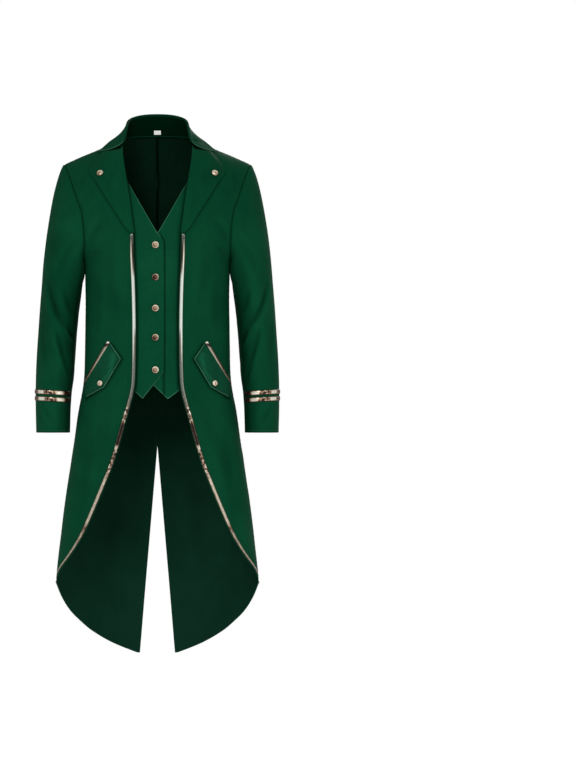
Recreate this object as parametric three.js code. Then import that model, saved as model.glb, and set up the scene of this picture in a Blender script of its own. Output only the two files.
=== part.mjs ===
// A long tailcoat with a sewn-in mock waistcoat front, worn open and filled out with nobody in it.
// Millimetres, +Z up, the front faces -Y, the wearer's left is +X.
// The origin is the nape: the centre-back point of the neck seam, where the collar stand begins.
// Each piece of cloth is a thin closed wall made from points of one body form or one sleeve form.

import * as THREE from 'three';

// ---------------------------------------------------------------- driving dimensions

const CLOTH = 2;              // wall of the coat cloth
const VEST_CLOTH = 1.5;       // wall of the waistcoat cloth
const TRIM_THICK = 1.2;       // metallic trim
const SEAM = 0.4;             // gap between two pieces that are sewn together
const REST = 0.6;             // gap under a piece that lies on another
const REST_HIP = 1.7;         // the same on the hip, where the body form curves most

const SHOULDER_X = 222;       // half the width across the shoulder points
const ARMHOLE_TOP = -66;      // height of the shoulder point
const ARMHOLE_BOTTOM = -300;  // height of the armpit
const RIDGE_ROUND = 90;       // height over which the body form rounds up to the shoulder seam
const VENT_TOP = -729;        // where the tails part
const TAIL_TIP = { x: 42.8, z: -1232 };
const SIDE_CORNER = -1063;    // lowest point of the side seam

const TRIM_WIDTH = 9.5;       // trim down the front edges
const HEM_TRIM = 6;           // trim along the back hem
const BAND_WIDTH = 10.5;      // metallic bands round the cuffs

// Body form, by height: half width, how far the front and back stand from the side line,
// where the side line lies, and how square the section is (2 is an ellipse).
const BODY = [
  { z: 60, half: 232, front: 74, back: 58, side: -50, square: 2.4 },
  { z: 0, half: 232, front: 80, back: 63.5, side: -55, square: 2.4 },
  { z: -66, half: 229, front: 86, back: 94, side: -70, square: 2.5 },
  { z: -120, half: 217, front: 107, back: 109, side: -76, square: 2.6 },
  { z: -181, half: 207, front: 118, back: 116, side: -80, square: 2.6 },
  { z: -243, half: 197, front: 120, back: 114, side: -82, square: 2.5 },
  { z: -300, half: 174.2, front: 117, back: 105, side: -82, square: 2.4 },
  { z: -324, half: 172.5, front: 115, back: 100, side: -82, square: 2.4 },
  { z: -390, half: 171.4, front: 108, back: 89, side: -82, square: 2.4 },
  { z: -460, half: 172.3, front: 103, back: 85, side: -80, square: 2.4 },
  { z: -560, half: 174.2, front: 107, back: 96, side: -78, square: 2.3 },
  { z: -600, half: 178, front: 110, back: 101, side: -76, square: 2.3 },
  { z: -651, half: 187.5, front: 113, back: 106, side: -74, square: 2.3 },
  { z: -735, half: 200, front: 116, back: 110, side: -70, square: 2.3 },
  { z: -863, half: 219.5, front: 124, back: 114, side: -66, square: 2.2 },
  { z: -981, half: 234, front: 131, back: 118, side: -62, square: 2.2 },
  { z: -1063, half: 242, front: 136, back: 121, side: -59, square: 2.2 },
  { z: -1240, half: 248, front: 142, back: 127, side: -54, square: 2.2 },
];

// Shoulder seam, seen from the front: it runs down from beside the neck. The two rows nearer the
// middle carry the body form on across the open neck.
const RIDGE = [
  { x: -76, z: 2 }, { x: 0, z: 45 }, { x: 76, z: 2 }, { x: 88, z: -4 }, { x: 116, z: -17 },
  { x: 137, z: -29 }, { x: 180, z: -47 }, { x: 222, z: -66 },
];

// Armhole seam: its distance from the middle at each height.
const ARMHOLE = [
  { z: -66, x: 222 }, { z: -97, x: 210 }, { z: -150, x: 192.3 }, { z: -181, x: 181.5 },
  { z: -243, x: 174.7 }, { z: -300, x: 174.2 },
];

// Front edge: neck, roll line of the lapel, straight front, and cutaway to the side seam.
const FRONT_EDGE = [
  { z: 0, x: 79 }, { z: -12, x: 81.5 }, { z: -33, x: 84.5 }, { z: -81, x: 79.7 },
  { z: -100, x: 75 }, { z: -165, x: 66 }, { z: -231, x: 57.5 }, { z: -287, x: 55.5 },
  { z: -375, x: 52.1 }, { z: -463, x: 50.7 }, { z: -557, x: 51.9 }, { z: -605, x: 55.5 },
  { z: -680, x: 75.8 }, { z: -771, x: 101.9 }, { z: -832, x: 125.6 }, { z: -921, x: 163.2 },
  { z: -959, x: 182.2 }, { z: -997, x: 206.8 }, { z: -1030, x: 231 }, { z: -1052, x: 241.2 },
];

// Hem of each tail, from the tip by the vent to the side seam.
const HEM = [
  { x: 42.8, z: -1232 }, { x: 50, z: -1231 }, { x: 111, z: -1206 }, { x: 158, z: -1178 },
  { x: 185, z: -1155 }, { x: 210, z: -1129 }, { x: 229, z: -1097 }, { x: 242, z: -1063 },
];

// Sleeve, by height: inner and outer side, middle and half of its depth.
const SLEEVE = [
  { z: -340, inner: 176.8, outer: 274.8, middle: -77, depth: 68 },
  { z: -375, inner: 181, outer: 277.5, middle: -73, depth: 67 },
  { z: -427, inner: 187.8, outer: 281.5, middle: -68, depth: 64 },
  { z: -507, inner: 194.4, outer: 287, middle: -65, depth: 61 },
  { z: -573, inner: 199, outer: 290, middle: -70, depth: 57 },
  { z: -610, inner: 204, outer: 290.6, middle: -77, depth: 54 },
  { z: -650, inner: 206.5, outer: 290.3, middle: -86, depth: 51 },
  { z: -705, inner: 208.2, outer: 289, middle: -98, depth: 48 },
];
const SLEEVE_STEPS = 24;              // columns round a sleeve, and twice the rows of an armhole
const CAP_ROWS = [0, 0.1, 0.3, 0.55, 0.8];
const FORE_SEAM = 10;                 // column of the sleeve's front seam, counted from the outside
const HIND_SEAM = 15;                 // column of its back seam

// Collar, one row for each station from the centre back to the front end of the leaf:
// where it joins the neck seam, its fold, and the free edge of the leaf.
const COLLAR = [
  { face: 'back', neckX: 0, neckZ: 0, fold: [0, 5, 55], edge: [0, 20, 3] },
  { face: 'back', neckX: 22, neckZ: 0, fold: [22, 3.5, 54.3], edge: [26, 18.5, 3] },
  { face: 'back', neckX: 44, neckZ: 0, fold: [43, -4, 51.5], edge: [52, 12, 3] },
  { face: 'back', neckX: 63, neckZ: 0, fold: [60, -20, 46], edge: [75, -5, 3.5] },
  { face: 'back', neckX: 75, neckZ: 0, fold: [69, -44, 38.5], edge: [92, -36, -1.5] },
  { face: 'front', neckX: 79.5, neckZ: -2, fold: [72.5, -68, 26], edge: [106, -62, -8] },
  { face: 'front', neckX: 81.5, neckZ: -12, fold: [75, -88, 9], edge: [121, -80, -20] },
  { face: 'front', neckX: 83.5, neckZ: -22, fold: [79, -104, -8], edge: [138, -92, -35] },
];
const LEAF_BULGE = 5;                 // how far the leaf rounds out between its fold and edge

// Lapel, one row for each height: the roll line and the outer edge.
const LAPEL = [
  { rollX: 85.5, rollZ: -30, edgeX: 130, edgeZ: -40 },
  { rollX: 85.3, rollZ: -42, edgeX: 147, edgeZ: -61 },
  { rollX: 82, rollZ: -68, edgeX: 163, edgeZ: -83 },
  { rollX: 77.5, rollZ: -94, edgeX: 144, edgeZ: -110 },
  { rollX: 73.5, rollZ: -120, edgeX: 127.5, edgeZ: -136 },
  { rollX: 69, rollZ: -150, edgeX: 108.5, edgeZ: -166 },
  { rollX: 65, rollZ: -180, edgeX: 89.5, edgeZ: -196 },
  { rollX: 61, rollZ: -210, edgeX: 75, edgeZ: -219 },
  { rollX: 58.5, rollZ: -229, edgeX: 62, edgeZ: -230.5 },
];
const LAPEL_ROLL = 3;                 // how far the lapel rounds away from the front

// Waistcoat front: the V of its neck and its overlap, then the cut of each lower edge.
// Distances are from the middle towards the side that the panel is sewn to.
const VEST_TOP = -42;
const VEST_FLARE = -555;              // height below which the rows fan out to the lower edge
const VEST_NECK = [
  { z: -42, x: 92 }, { z: -81, x: 84 }, { z: -100, x: 75 }, { z: -165, x: 38.5 },
  { z: -228, x: 2 }, { z: -242, x: -9 }, { z: -256, x: -14.5 }, { z: -600, x: -14.5 },
];
const VEST_SIDE = [{ z: -42, x: 118 }, { z: -165, x: 112 }, { z: -600, x: 105 }];
const VEST_HEM = {
  right: [
    { x: 105, z: -577 }, { x: 81, z: -590 }, { x: 57, z: -605 }, { x: 36, z: -624 },
    { x: 10, z: -592 }, { x: -14.5, z: -561 },
  ],
  left: [
    { x: 105, z: -577 }, { x: 81, z: -589 }, { x: 57, z: -602 }, { x: 25, z: -625 },
    { x: 4, z: -605 }, { x: -14.5, z: -587 },
  ],
};
const VEST_INSET = { right: 7.5, left: 10.5 };   // depth below the coat's face, at the overlap
const VEST_SEWN = 4.2;                           // depth where it is sewn under the coat's front

// Pocket: the bound edge runs straight over the hip, and the flap's lower corners lie below it.
// around is 0 at the centre front and 1 at the side seam.
const POCKET_TOP = [{ x: 112, z: -492.5 }, { x: 171, z: -590.5 }];
const FLAP_LOW = [
  { around: 0.321, z: -530 }, { around: 0.4, z: -564 }, { around: 0.475, z: -597 },
  { around: 0.59, z: -611 }, { around: 0.691, z: -620 },
];
const POCKET_TRIM = 9;

// Half-belt tab: half its length, and its ends cut to an octagon.
const TAB = [
  { x: -100, top: -436, low: -456 }, { x: -80, top: -420, low: -466 },
  { x: -40, top: -420, low: -466 }, { x: 0, top: -420, low: -466 },
  { x: 40, top: -420, low: -466 }, { x: 80, top: -420, low: -466 },
  { x: 100, top: -436, low: -456 },
];

const VENT_CAP = [{ z: -698, half: 15.5 }, { z: -708, half: 13 }, { z: -718, half: 10.5 }];
const CUFF_BANDS = [-608, -624];       // heights at the outer side of the sleeve
const BAND_DROP = 5;                   // how much lower they are at the inner side
const LABEL = { width: 16, low: 5.5, high: 15 };

// Buttons: where they sit, and the radius of each kind.
const VEST_BUTTONS = [-259, -336, -410, -479, -556];
const VEST_BUTTON_X = 5;
const CUFF_BUTTONS = [-640, -662, -684];
const CUFF_BUTTON_COLUMN = 16.3;       // sleeve columns from the outside, the back way round
const LAPEL_BUTTON = { x: 134.5, z: -92.5 };
const FLAP_BUTTON = { x: 132.5, z: -588.5 };
const TAB_BUTTON = { x: 80, z: -441 };
const BUTTON_RADIUS = { vest: 8.2, lapel: 8, tab: 8.2, flap: 6.8, cuff: 7 };
const BUTTON_HEIGHT = 4;

// ---------------------------------------------------------------- materials

const material = (color, roughness, metalness) =>
  new THREE.MeshStandardMaterial({ color, roughness, metalness });

const FINISH = {
  cloth: () => material(0x0b422a, 0.85, 0),
  vest: () => material(0x0c442c, 0.85, 0),
  trim: () => material(0xa8927c, 0.4, 0.6),
  copper: () => material(0x96553a, 0.45, 0.6),
  button: () => material(0x9c6a50, 0.35, 0.9),
  label: () => material(0xf2f2ee, 0.8, 0),
};

// ---------------------------------------------------------------- small tools

const { clamp, lerp } = THREE.MathUtils;
const vector = (x, y, z) => new THREE.Vector3(x, y, z);

// A smooth curve through one column of a table, looked up by another column.
function smooth(table, by, column) {
  const last = table.length - 1;
  const slope = (i) => {
    const before = table[Math.max(i - 1, 0)];
    const after = table[Math.min(i + 1, last)];
    return (after[column] - before[column]) / (after[by] - before[by]);
  };
  const rising = table[last][by] > table[0][by];
  return (value) => {
    let i = 0;
    while (i < last - 1 && (rising ? value > table[i + 1][by] : value < table[i + 1][by])) i += 1;
    const span = table[i + 1][by] - table[i][by];
    const t = clamp((value - table[i][by]) / span, 0, 1);
    const rise = t * t * (3 - 2 * t);
    const start = table[i][column] * (1 - rise) + slope(i) * span * t * (1 - t) * (1 - t);
    return start + table[i + 1][column] * rise - slope(i + 1) * span * t * t * (1 - t);
  };
}

const mix = (a, b, t) => a.clone().lerp(b, t);

// A closed wall between two grids of points, with its four rims, facing outward.
function wall(outer, inner) {
  const rows = outer.length;
  const columns = outer[0].length;
  const points = [...outer.flat(), ...inner.flat()];
  const last = columns - 1;
  const at = (layer, i, j) => layer * rows * columns + i * columns + j;
  const faces = [];
  const quad = (a, b, c, d) => faces.push(a, b, c, a, c, d);
  for (let i = 0; i < rows - 1; i += 1) {
    for (let j = 0; j < columns - 1; j += 1) {
      quad(at(0, i, j), at(0, i + 1, j), at(0, i + 1, j + 1), at(0, i, j + 1));
      quad(at(1, i, j), at(1, i, j + 1), at(1, i + 1, j + 1), at(1, i + 1, j));
    }
    quad(at(0, i, 0), at(1, i, 0), at(1, i + 1, 0), at(0, i + 1, 0));
    quad(at(0, i, last), at(0, i + 1, last), at(1, i + 1, last), at(1, i, last));
  }
  for (let j = 0; j < columns - 1; j += 1) {
    quad(at(0, 0, j), at(0, 0, j + 1), at(1, 0, j + 1), at(1, 0, j));
    quad(at(0, rows - 1, j), at(1, rows - 1, j), at(1, rows - 1, j + 1), at(0, rows - 1, j + 1));
  }
  let volume = 0;
  for (let f = 0; f < faces.length; f += 3) {
    const [a, b, c] = [points[faces[f]], points[faces[f + 1]], points[faces[f + 2]]];
    volume += a.dot(b.clone().cross(c));
  }
  if (volume < 0) faces.reverse();
  const geometry = new THREE.BufferGeometry();
  geometry.setAttribute('position', new THREE.Float32BufferAttribute(points.flatMap((p) => [...p]), 3));
  geometry.setIndex(faces);
  geometry.computeVertexNormals();
  return geometry;
}

// A wall from surface spots, each a point and its outward normal. Its lower face is lift above
// the surface, where lift is a number or a function of the row and column.
function sheet(spots, lift, thick) {
  const height = typeof lift === 'function' ? lift : () => lift;
  const layer = (extra) => spots.map((row, i) => row.map(
    ({ point, normal }, j) => point.clone().addScaledVector(normal, height(i, j) + extra),
  ));
  return wall(layer(thick), layer(0));
}

function mirrored(geometry) {
  const copy = geometry.clone();
  copy.scale(-1, 1, 1);
  copy.setIndex([...copy.getIndex().array].reverse());
  copy.computeVertexNormals();
  return copy;
}

const coat = new THREE.Group();
coat.name = 'tailcoat';

function add(name, geometry, finish) {
  const mesh = new THREE.Mesh(geometry, FINISH[finish]());
  mesh.name = name;
  coat.add(mesh);
  return mesh;
}

// A piece on the wearer's left, and its mirror image on the right.
function addPair(name, geometry, finish) {
  add(`${name}_left`, geometry, finish);
  add(`${name}_right`, mirrored(geometry), finish);
}

// ---------------------------------------------------------------- body form

const body = Object.fromEntries(
  ['half', 'front', 'back', 'side', 'square'].map((name) => [name, smooth(BODY, 'z', name)]),
);
const ridge = smooth(RIDGE, 'x', 'z');
const armhole = smooth(ARMHOLE, 'z', 'x');
const frontEdge = smooth(FRONT_EDGE, 'z', 'x');
const hem = smooth(HEM, 'x', 'z');
const change = (curve, at) => (curve(at + 1) - curve(at - 1)) / 2;

// The point and outward normal on the front or back of the body, x from the middle, at height z.
// across is the share of the half width, and deep what is left of the depth there.
function bodySpot(face, across, deep, z, sign = 1) {
  const half = body.half(z);
  const depth = body[face](z);
  const n = body.square(z);
  const x = across * half;
  const t = clamp((ridge(x) - z) / RIDGE_ROUND, 0, 1);
  const round = Math.sqrt(1 - (1 - t) ** 2);
  const forward = face === 'front' ? -1 : 1;
  const y = body.side(z) + forward * (depth * deep * round + SEAM / 2);
  const steep = (1 - t) / RIDGE_ROUND;
  const tall = deep ** n;
  const weight = round * deep ** (n - 1);
  const normal = vector(
    depth * (round * round * across ** (n - 1) / half - tall * steep * change(ridge, x)),
    forward * weight,
    depth * (tall * steep - round * round * across ** n * change(body.half, z) / half)
      - change(body[face], z) * tall * round * round - forward * weight * change(body.side, z),
  ).normalize();
  normal.x *= sign;
  return { point: vector(sign * x, y, z), normal };
}

// By distance from the middle.
function bodyAt(face, x, z) {
  const across = Math.min(Math.abs(x) / body.half(z), 1);
  const n = body.square(z);
  return bodySpot(face, across, (1 - across ** n) ** (1 / n), z, x < 0 ? -1 : 1);
}

// By angle round the section: 0 at the centre line, 90 degrees at the side seam.
function bodyRound(face, angle, z) {
  const n = body.square(z);
  const [s, c] = [Math.sin(angle), Math.max(Math.cos(angle), 0)];
  const r = (s ** n + c ** n) ** (-1 / n);
  return bodySpot(face, r * s, r * c, z);
}

function angleAt(x, z) {
  const n = body.square(z);
  const share = Math.min(x / body.half(z), 1) ** n;
  return Math.atan2(share ** (1 / n), Math.max(1 - share, 0) ** (1 / n));
}

// The body spot nearest to a point that lies close to the body.
function bodyNear(face, point) {
  const angle = Math.atan2(
    Math.max(point.x, 0) / body.half(point.z),
    Math.max((point.y - body.side(point.z)) * (face === 'front' ? -1 : 1), 0) / body[face](point.z),
  );
  return bodyRound(face, angle, point.z);
}

const PANEL_COLUMNS = 8;
const SPREAD = 0.35;                   // how much closer the columns lie near the armhole
const ARM_ROWS = SLEEVE_STEPS / 2;
const ARMHOLE_MIDDLE = (ARMHOLE_TOP + ARMHOLE_BOTTOM) / 2;
const ARMHOLE_HALF = (ARMHOLE_TOP - ARMHOLE_BOTTOM) / 2;
const armRowHeight = (i) => ARMHOLE_MIDDLE + ARMHOLE_HALF * Math.cos((i / ARM_ROWS) * Math.PI);
const shoulderTop = (x) => Math.min(0, ridge(x));

// One panel: rows fan out from the shoulder seam, then run level down to the last height.
function panelRows(face, centre, levels) {
  const rows = [];
  for (let i = 0; i <= ARM_ROWS; i += 1) {
    const sideZ = armRowHeight(i);
    const share = (sideZ - ARMHOLE_TOP) / (ARMHOLE_BOTTOM - ARMHOLE_TOP);
    const side = armhole(sideZ);
    const row = [];
    for (let j = 0; j <= PANEL_COLUMNS; j += 1) {
      const u = j / PANEL_COLUMNS;
      const spread = lerp(u, Math.sin(u * Math.PI / 2), SPREAD);
      const topX = lerp(centre(0), SHOULDER_X, spread);
      const z = lerp(j === PANEL_COLUMNS ? ARMHOLE_TOP : shoulderTop(topX), ARMHOLE_BOTTOM, share);
      const x = lerp(centre(z), side, spread);
      row.push(bodyAt(face, x, z));
    }
    rows.push(row);
  }
  for (const z of levels) {
    const start = angleAt(centre(z), z);
    rows.push(Array.from({ length: PANEL_COLUMNS + 1 }, (_, j) => (
      bodyRound(face, lerp(start, Math.PI / 2, j / PANEL_COLUMNS), z)
    )));
  }
  return rows;
}

// ---------------------------------------------------------------- fronts and backs

const WAIST_LEVELS = [-324, -370, -420, -466, -512, -560, -605, -651, -710, -780, -860, -940];

const frontRows = panelRows('front', frontEdge, [...WAIST_LEVELS, -1000, -1030, -1048]);
addPair('front', sheet(frontRows, -CLOTH, CLOTH), 'cloth');

const ventEdge = (z) => SEAM / 2 + Math.max(0, (VENT_TOP - z) / (VENT_TOP - TAIL_TIP.z)) * TAIL_TIP.x;
const FAN_START = -1010;
const FAN_ROWS = 4;
const backRows = panelRows('back', ventEdge, [...WAIST_LEVELS, FAN_START]);

// The last rows fan out to the curved hem.
function hemSpot(u) {
  const tip = angleAt(TAIL_TIP.x, TAIL_TIP.z);
  const angle = lerp(tip, Math.PI / 2, u);
  let z = (TAIL_TIP.z + SIDE_CORNER) / 2;
  for (let pass = 0; pass < 12; pass += 1) {
    z = lerp(z, hem(bodyRound('back', angle, z).point.x), 0.7);
  }
  return { angle, z };
}
const fanStart = angleAt(ventEdge(FAN_START), FAN_START);
for (let i = 1; i <= FAN_ROWS; i += 1) {
  backRows.push(Array.from({ length: PANEL_COLUMNS + 1 }, (_, j) => {
    const u = j / PANEL_COLUMNS;
    const low = hemSpot(u);
    const angle = lerp(lerp(fanStart, Math.PI / 2, u), low.angle, i / FAN_ROWS);
    return bodyRound('back', angle, lerp(FAN_START, low.z, i / FAN_ROWS));
  }));
}
addPair('back', sheet(backRows, -CLOTH, CLOTH), 'cloth');

// ---------------------------------------------------------------- sleeves

const sleeve = Object.fromEntries(
  ['inner', 'outer', 'middle', 'depth'].map((name) => [name, smooth(SLEEVE, 'z', name)]),
);

// A point of the sleeve's section at height z. Column 0 is the outer side, a quarter is the front.
function sleeveRing(column, z) {
  const angle = (column / SLEEVE_STEPS) * Math.PI * 2;
  const centre = (sleeve.inner(z) + sleeve.outer(z)) / 2;
  const half = (sleeve.outer(z) - sleeve.inner(z)) / 2;
  return vector(
    centre + half * Math.cos(angle),
    sleeve.middle(z) - sleeve.depth(z) * Math.sin(angle),
    z,
  );
}

function armholePoint(column) {
  const angle = (column / SLEEVE_STEPS) * Math.PI * 2;
  const z = ARMHOLE_MIDDLE + ARMHOLE_HALF * Math.cos(angle);
  const face = column <= ARM_ROWS ? 'front' : 'back';
  const { point } = bodyAt(face, armhole(z), z);
  if (column % ARM_ROWS === 0) point.y = body.side(z);
  return point;
}

const SLEEVE_HANG = 280;               // length of the sleeve head from the shoulder to the upper arm
const HEAD_START = vector(70, 0, -90); // how the cloth leaves the armhole at the shoulder point
const HEAD_END = vector(20, 0, -300);  // how it runs into the upper arm
const HEAD_FULLNESS = 22;              // fullness at the front and back of the head

// The sleeve head is a smooth sweep from the armhole to the upper arm.
function headPoint(column, t) {
  const start = armholePoint(column).add(vector(SEAM + 0.2, 0, 0));
  const end = sleeveRing(column, SLEEVE[0].z);
  const size = start.distanceTo(end) / SLEEVE_HANG;
  const angle = (column / SLEEVE_STEPS) * Math.PI * 2;
  const leave = HEAD_START.clone().multiplyScalar(size);
  leave.y -= HEAD_FULLNESS * Math.sin(angle) * size;
  const arrive = HEAD_END.clone().multiplyScalar(size);
  const rise = t * t * (3 - 2 * t);
  return start.multiplyScalar(1 - rise).addScaledVector(end, rise)
    .addScaledVector(leave, t * (1 - t) ** 2).addScaledVector(arrive, -t * t * (1 - t));
}

const SLEEVE_LEVELS = [-340, -400, -460, -520, -575, -620, -660, -705];
const wrap = (column) => (column + SLEEVE_STEPS) % SLEEVE_STEPS;
const sleevePoints = [
  ...CAP_ROWS.map((t) => Array.from({ length: SLEEVE_STEPS }, (_, j) => headPoint(j, t))),
  ...SLEEVE_LEVELS.map((z) => Array.from({ length: SLEEVE_STEPS }, (_, j) => sleeveRing(j, z))),
];

// Outward normals of the whole sleeve, so that its two pieces share them at their seams. At the
// armhole the cloth turns in along the seam, square to the arm.
function sleeveNormal(i, j) {
  if (i === 0) {
    const centre = vector(0, body.side(ARMHOLE_MIDDLE), ARMHOLE_MIDDLE);
    return sleevePoints[0][j].clone().sub(centre).setX(0).normalize();
  }
  const above = sleevePoints[i - 1][j];
  const below = sleevePoints[Math.min(i + 1, sleevePoints.length - 1)][j];
  const down = below.clone().sub(above);
  const across = sleevePoints[i][wrap(j + 1)].clone().sub(sleevePoints[i][wrap(j - 1)]);
  return across.cross(down).normalize();
}

// The columns of a sleeve piece from one seam to the other, drawn back from both by half the gap.
function sleevePiece(first, last) {
  return sleevePoints.map((ring, i) => {
    const row = [];
    for (let j = first; j <= last; j += 1) {
      const point = ring[wrap(j)].clone();
      const inward = j === first ? 1 : j === last ? -1 : 0;
      const next = ring[wrap(j + inward)].clone().sub(point);
      if (inward) point.addScaledVector(next.normalize(), SEAM / 2);
      row.push({ point, normal: sleeveNormal(i, wrap(j)) });
    }
    return row;
  });
}

addPair('top_sleeve', sheet(sleevePiece(HIND_SEAM - SLEEVE_STEPS, FORE_SEAM), -CLOTH, CLOTH), 'cloth');
addPair('under_sleeve', sheet(sleevePiece(FORE_SEAM, HIND_SEAM), -CLOTH, CLOTH), 'cloth');

// A spot on the lower sleeve, for what is sewn there.
function sleeveSpot(column, z) {
  const point = sleeveRing(column, z);
  const across = sleeveRing(column + 0.1, z).sub(sleeveRing(column - 0.1, z));
  const down = sleeveRing(column, z - 1).sub(sleeveRing(column, z + 1));
  return { point, normal: across.cross(down).normalize() };
}

CUFF_BANDS.forEach((height, k) => {
  const start = HIND_SEAM - SLEEVE_STEPS + 0.1;
  const end = FORE_SEAM - 0.1;
  const columns = [start, ...Array.from({ length: end - start | 0 }, (_, j) => Math.ceil(start) + j), end];
  const rows = [1, -1].map((edge) => columns.map((column) => {
    const inside = (1 - Math.cos((column / SLEEVE_STEPS) * Math.PI * 2)) / 2;
    return sleeveSpot(column, height - BAND_DROP * inside + edge * BAND_WIDTH / 2);
  }));
  addPair(`cuff_band_${k + 1}`, sheet(rows, REST, TRIM_THICK), 'trim');
});

// ---------------------------------------------------------------- collar

const toVector = ([x, y, z]) => vector(x, y, z);
const bothSides = (row) => [
  ...row.slice(1).reverse().map((p) => p.clone().setX(-p.x)),
  ...row,
];

// The stand rises from the neck seam to just under the fold.
const standFoot = COLLAR.map(({ face, neckX, neckZ }) => {
  const { point } = bodyAt(face, neckX, neckZ);
  return face === 'back' ? point.add(vector(0, 0, 1)) : point.add(vector(-1.2, 0, 1.2));
});
const fold = COLLAR.map((station) => toVector(station.fold));
const standTop = fold.map((point, i) => mix(standFoot[i], point, 0.96));

// Level direction out of the neck at each station, from the run of the fold.
const away = fold.map((_, i) => {
  const run = fold[Math.min(i + 1, fold.length - 1)].clone().sub(i ? fold[i - 1] : vector(-22, 3.5, 52));
  return vector(-run.y, run.x, 0).normalize().setZ(0);
});
const moved = (row, distance) => row.map((p, i) => p.clone().addScaledVector(away[i], distance));
const standMiddle = standFoot.map((p, i) => mix(p, standTop[i], 0.5));
const standRows = [standFoot, standMiddle, standTop];
add('collar_stand', wall(
  standRows.map((row) => bothSides(row)),
  standRows.map((row) => bothSides(moved(row, -CLOTH))),
), 'cloth');

// The leaf falls from the fold to its free edge, rounded out between them.
const LEAF_STEPS = 4;
const leafRows = Array.from({ length: LEAF_STEPS + 1 }, (_, k) => {
  const t = k / LEAF_STEPS;
  return COLLAR.map((station, i) => {
    const lift = Math.sin(t * Math.PI) * LEAF_BULGE;
    return mix(fold[i], toVector(station.edge), t)
      .addScaledVector(away[i], lift * 0.6 + SEAM + CLOTH)
      .add(vector(0, 0, lift));
  });
});
const leafNormals = leafRows.map((row, k) => row.map((_, i) => {
  const down = leafRows[Math.min(k + 1, LEAF_STEPS)][i].clone().sub(leafRows[Math.max(k - 1, 0)][i]);
  const before = i ? row[i - 1] : row[1].clone().setX(-row[1].x);
  const run = row[Math.min(i + 1, row.length - 1)].clone().sub(before);
  return run.cross(down).normalize();
}));
const leafUnder = leafRows.map((row, k) => row.map((p, i) => {
  const out = leafNormals[k][i].dot(away[i]) + leafNormals[k][i].z < 0 ? 1 : -1;
  return p.clone().addScaledVector(leafNormals[k][i], out * CLOTH);
}));
add('collar_leaf', wall(leafRows.map(bothSides), leafUnder.map(bothSides)), 'cloth');

// The label lies on the inner face of the stand, between its first two stations.
const standInner = moved(standFoot, -CLOTH).map((foot, i) => [foot, moved(standTop, -CLOTH)[i]]);
const labelRows = [LABEL.high, LABEL.low].map((z) => [-1, 0, 1].map((side) => {
  const share = Math.abs(side) * LABEL.width / 2 / standInner[1][0].x;
  const [foot, top] = [0, 1].map((end) => mix(standInner[0][end], standInner[1][end], share));
  const point = mix(foot, top, z / top.z);
  return { point: point.setX(side * LABEL.width / 2), normal: vector(0, -1, 0) };
}));
add('label', sheet(labelRows, REST, 1), 'label');

// ---------------------------------------------------------------- lapels

const LAPEL_COLUMNS = 4;
const lapelRows = LAPEL.map(({ rollX, rollZ, edgeX, edgeZ }) => (
  Array.from({ length: LAPEL_COLUMNS + 1 }, (_, j) => {
    const u = j / LAPEL_COLUMNS;
    return bodyAt('front', lerp(rollX, edgeX, u), lerp(rollZ, edgeZ, u));
  })
));
const LAPEL_CREST = 0.8;               // share of half a wave from the roll line to the edge
const LAPEL_FADE = 3;                  // rows over which the roll dies away at the lower end
const lapelLift = (i, j) => {
  const roll = Math.sin((j / LAPEL_COLUMNS) * Math.PI * LAPEL_CREST);
  return REST + LAPEL_ROLL * roll * Math.min(1, (LAPEL.length - 1 - i) / LAPEL_FADE);
};
addPair('lapel', sheet(lapelRows, lapelLift, CLOTH), 'cloth');

// ---------------------------------------------------------------- mock waistcoat

const vestNeck = smooth(VEST_NECK, 'z', 'x');
const vestSide = smooth(VEST_SIDE, 'z', 'x');
const VEST_LEVELS = [
  VEST_TOP, -81, -100, -165, -228, -242, -256, -320, -400, -480, VEST_FLARE,
];
const VEST_FAN = 2;
const VEST_DROP = 1.6;                 // over 1 takes the panel to its full depth before its edge

function vestPanel(hemTable) {
  const low = smooth(VEST_SIDE, 'z', 'x')(VEST_FLARE);
  const shares = hemTable.map(({ x }) => (low - x) / (low - hemTable[hemTable.length - 1].x));
  const rows = VEST_LEVELS.map((z) => shares.map((u) => [lerp(vestSide(z), vestNeck(z), u), z]));
  const last = rows[rows.length - 1];
  for (let i = 1; i <= VEST_FAN; i += 1) {
    rows.push(last.map(([x], j) => [
      lerp(x, hemTable[j].x, i / VEST_FAN), lerp(VEST_FLARE, hemTable[j].z, i / VEST_FAN),
    ]));
  }
  return { rows, shares };
}

for (const side of ['right', 'left']) {
  const { rows, shares } = vestPanel(VEST_HEM[side]);
  const spots = rows.map((row) => row.map(([x, z]) => bodyAt('front', x, z)));
  const deep = shares.map((share) => lerp(
    VEST_SEWN, VEST_INSET[side], Math.sin(Math.min(1, share * VEST_DROP) * Math.PI / 2),
  ));
  const geometry = sheet(spots, (i, j) => -deep[j] - VEST_CLOTH, VEST_CLOTH);
  add(`vest_${side}`, side === 'left' ? geometry : mirrored(geometry), 'vest');
}

// ---------------------------------------------------------------- trims

// A band on the body: its line is one edge, and it lies on the side that inward points to.
function band(face, line, widths, inward, rest = REST) {
  const rows = line.map((spot, i) => {
    const before = line[Math.max(i - 1, 0)].point;
    const after = line[Math.min(i + 1, line.length - 1)].point;
    const across = after.clone().sub(before).cross(spot.normal).normalize();
    if (across.dot(inward) < 0) across.negate();
    return [0.4, widths(i)].map((w) => bodyNear(face, spot.point.clone().addScaledVector(across, w)));
  });
  return sheet(rows, rest, TRIM_THICK);
}

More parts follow.
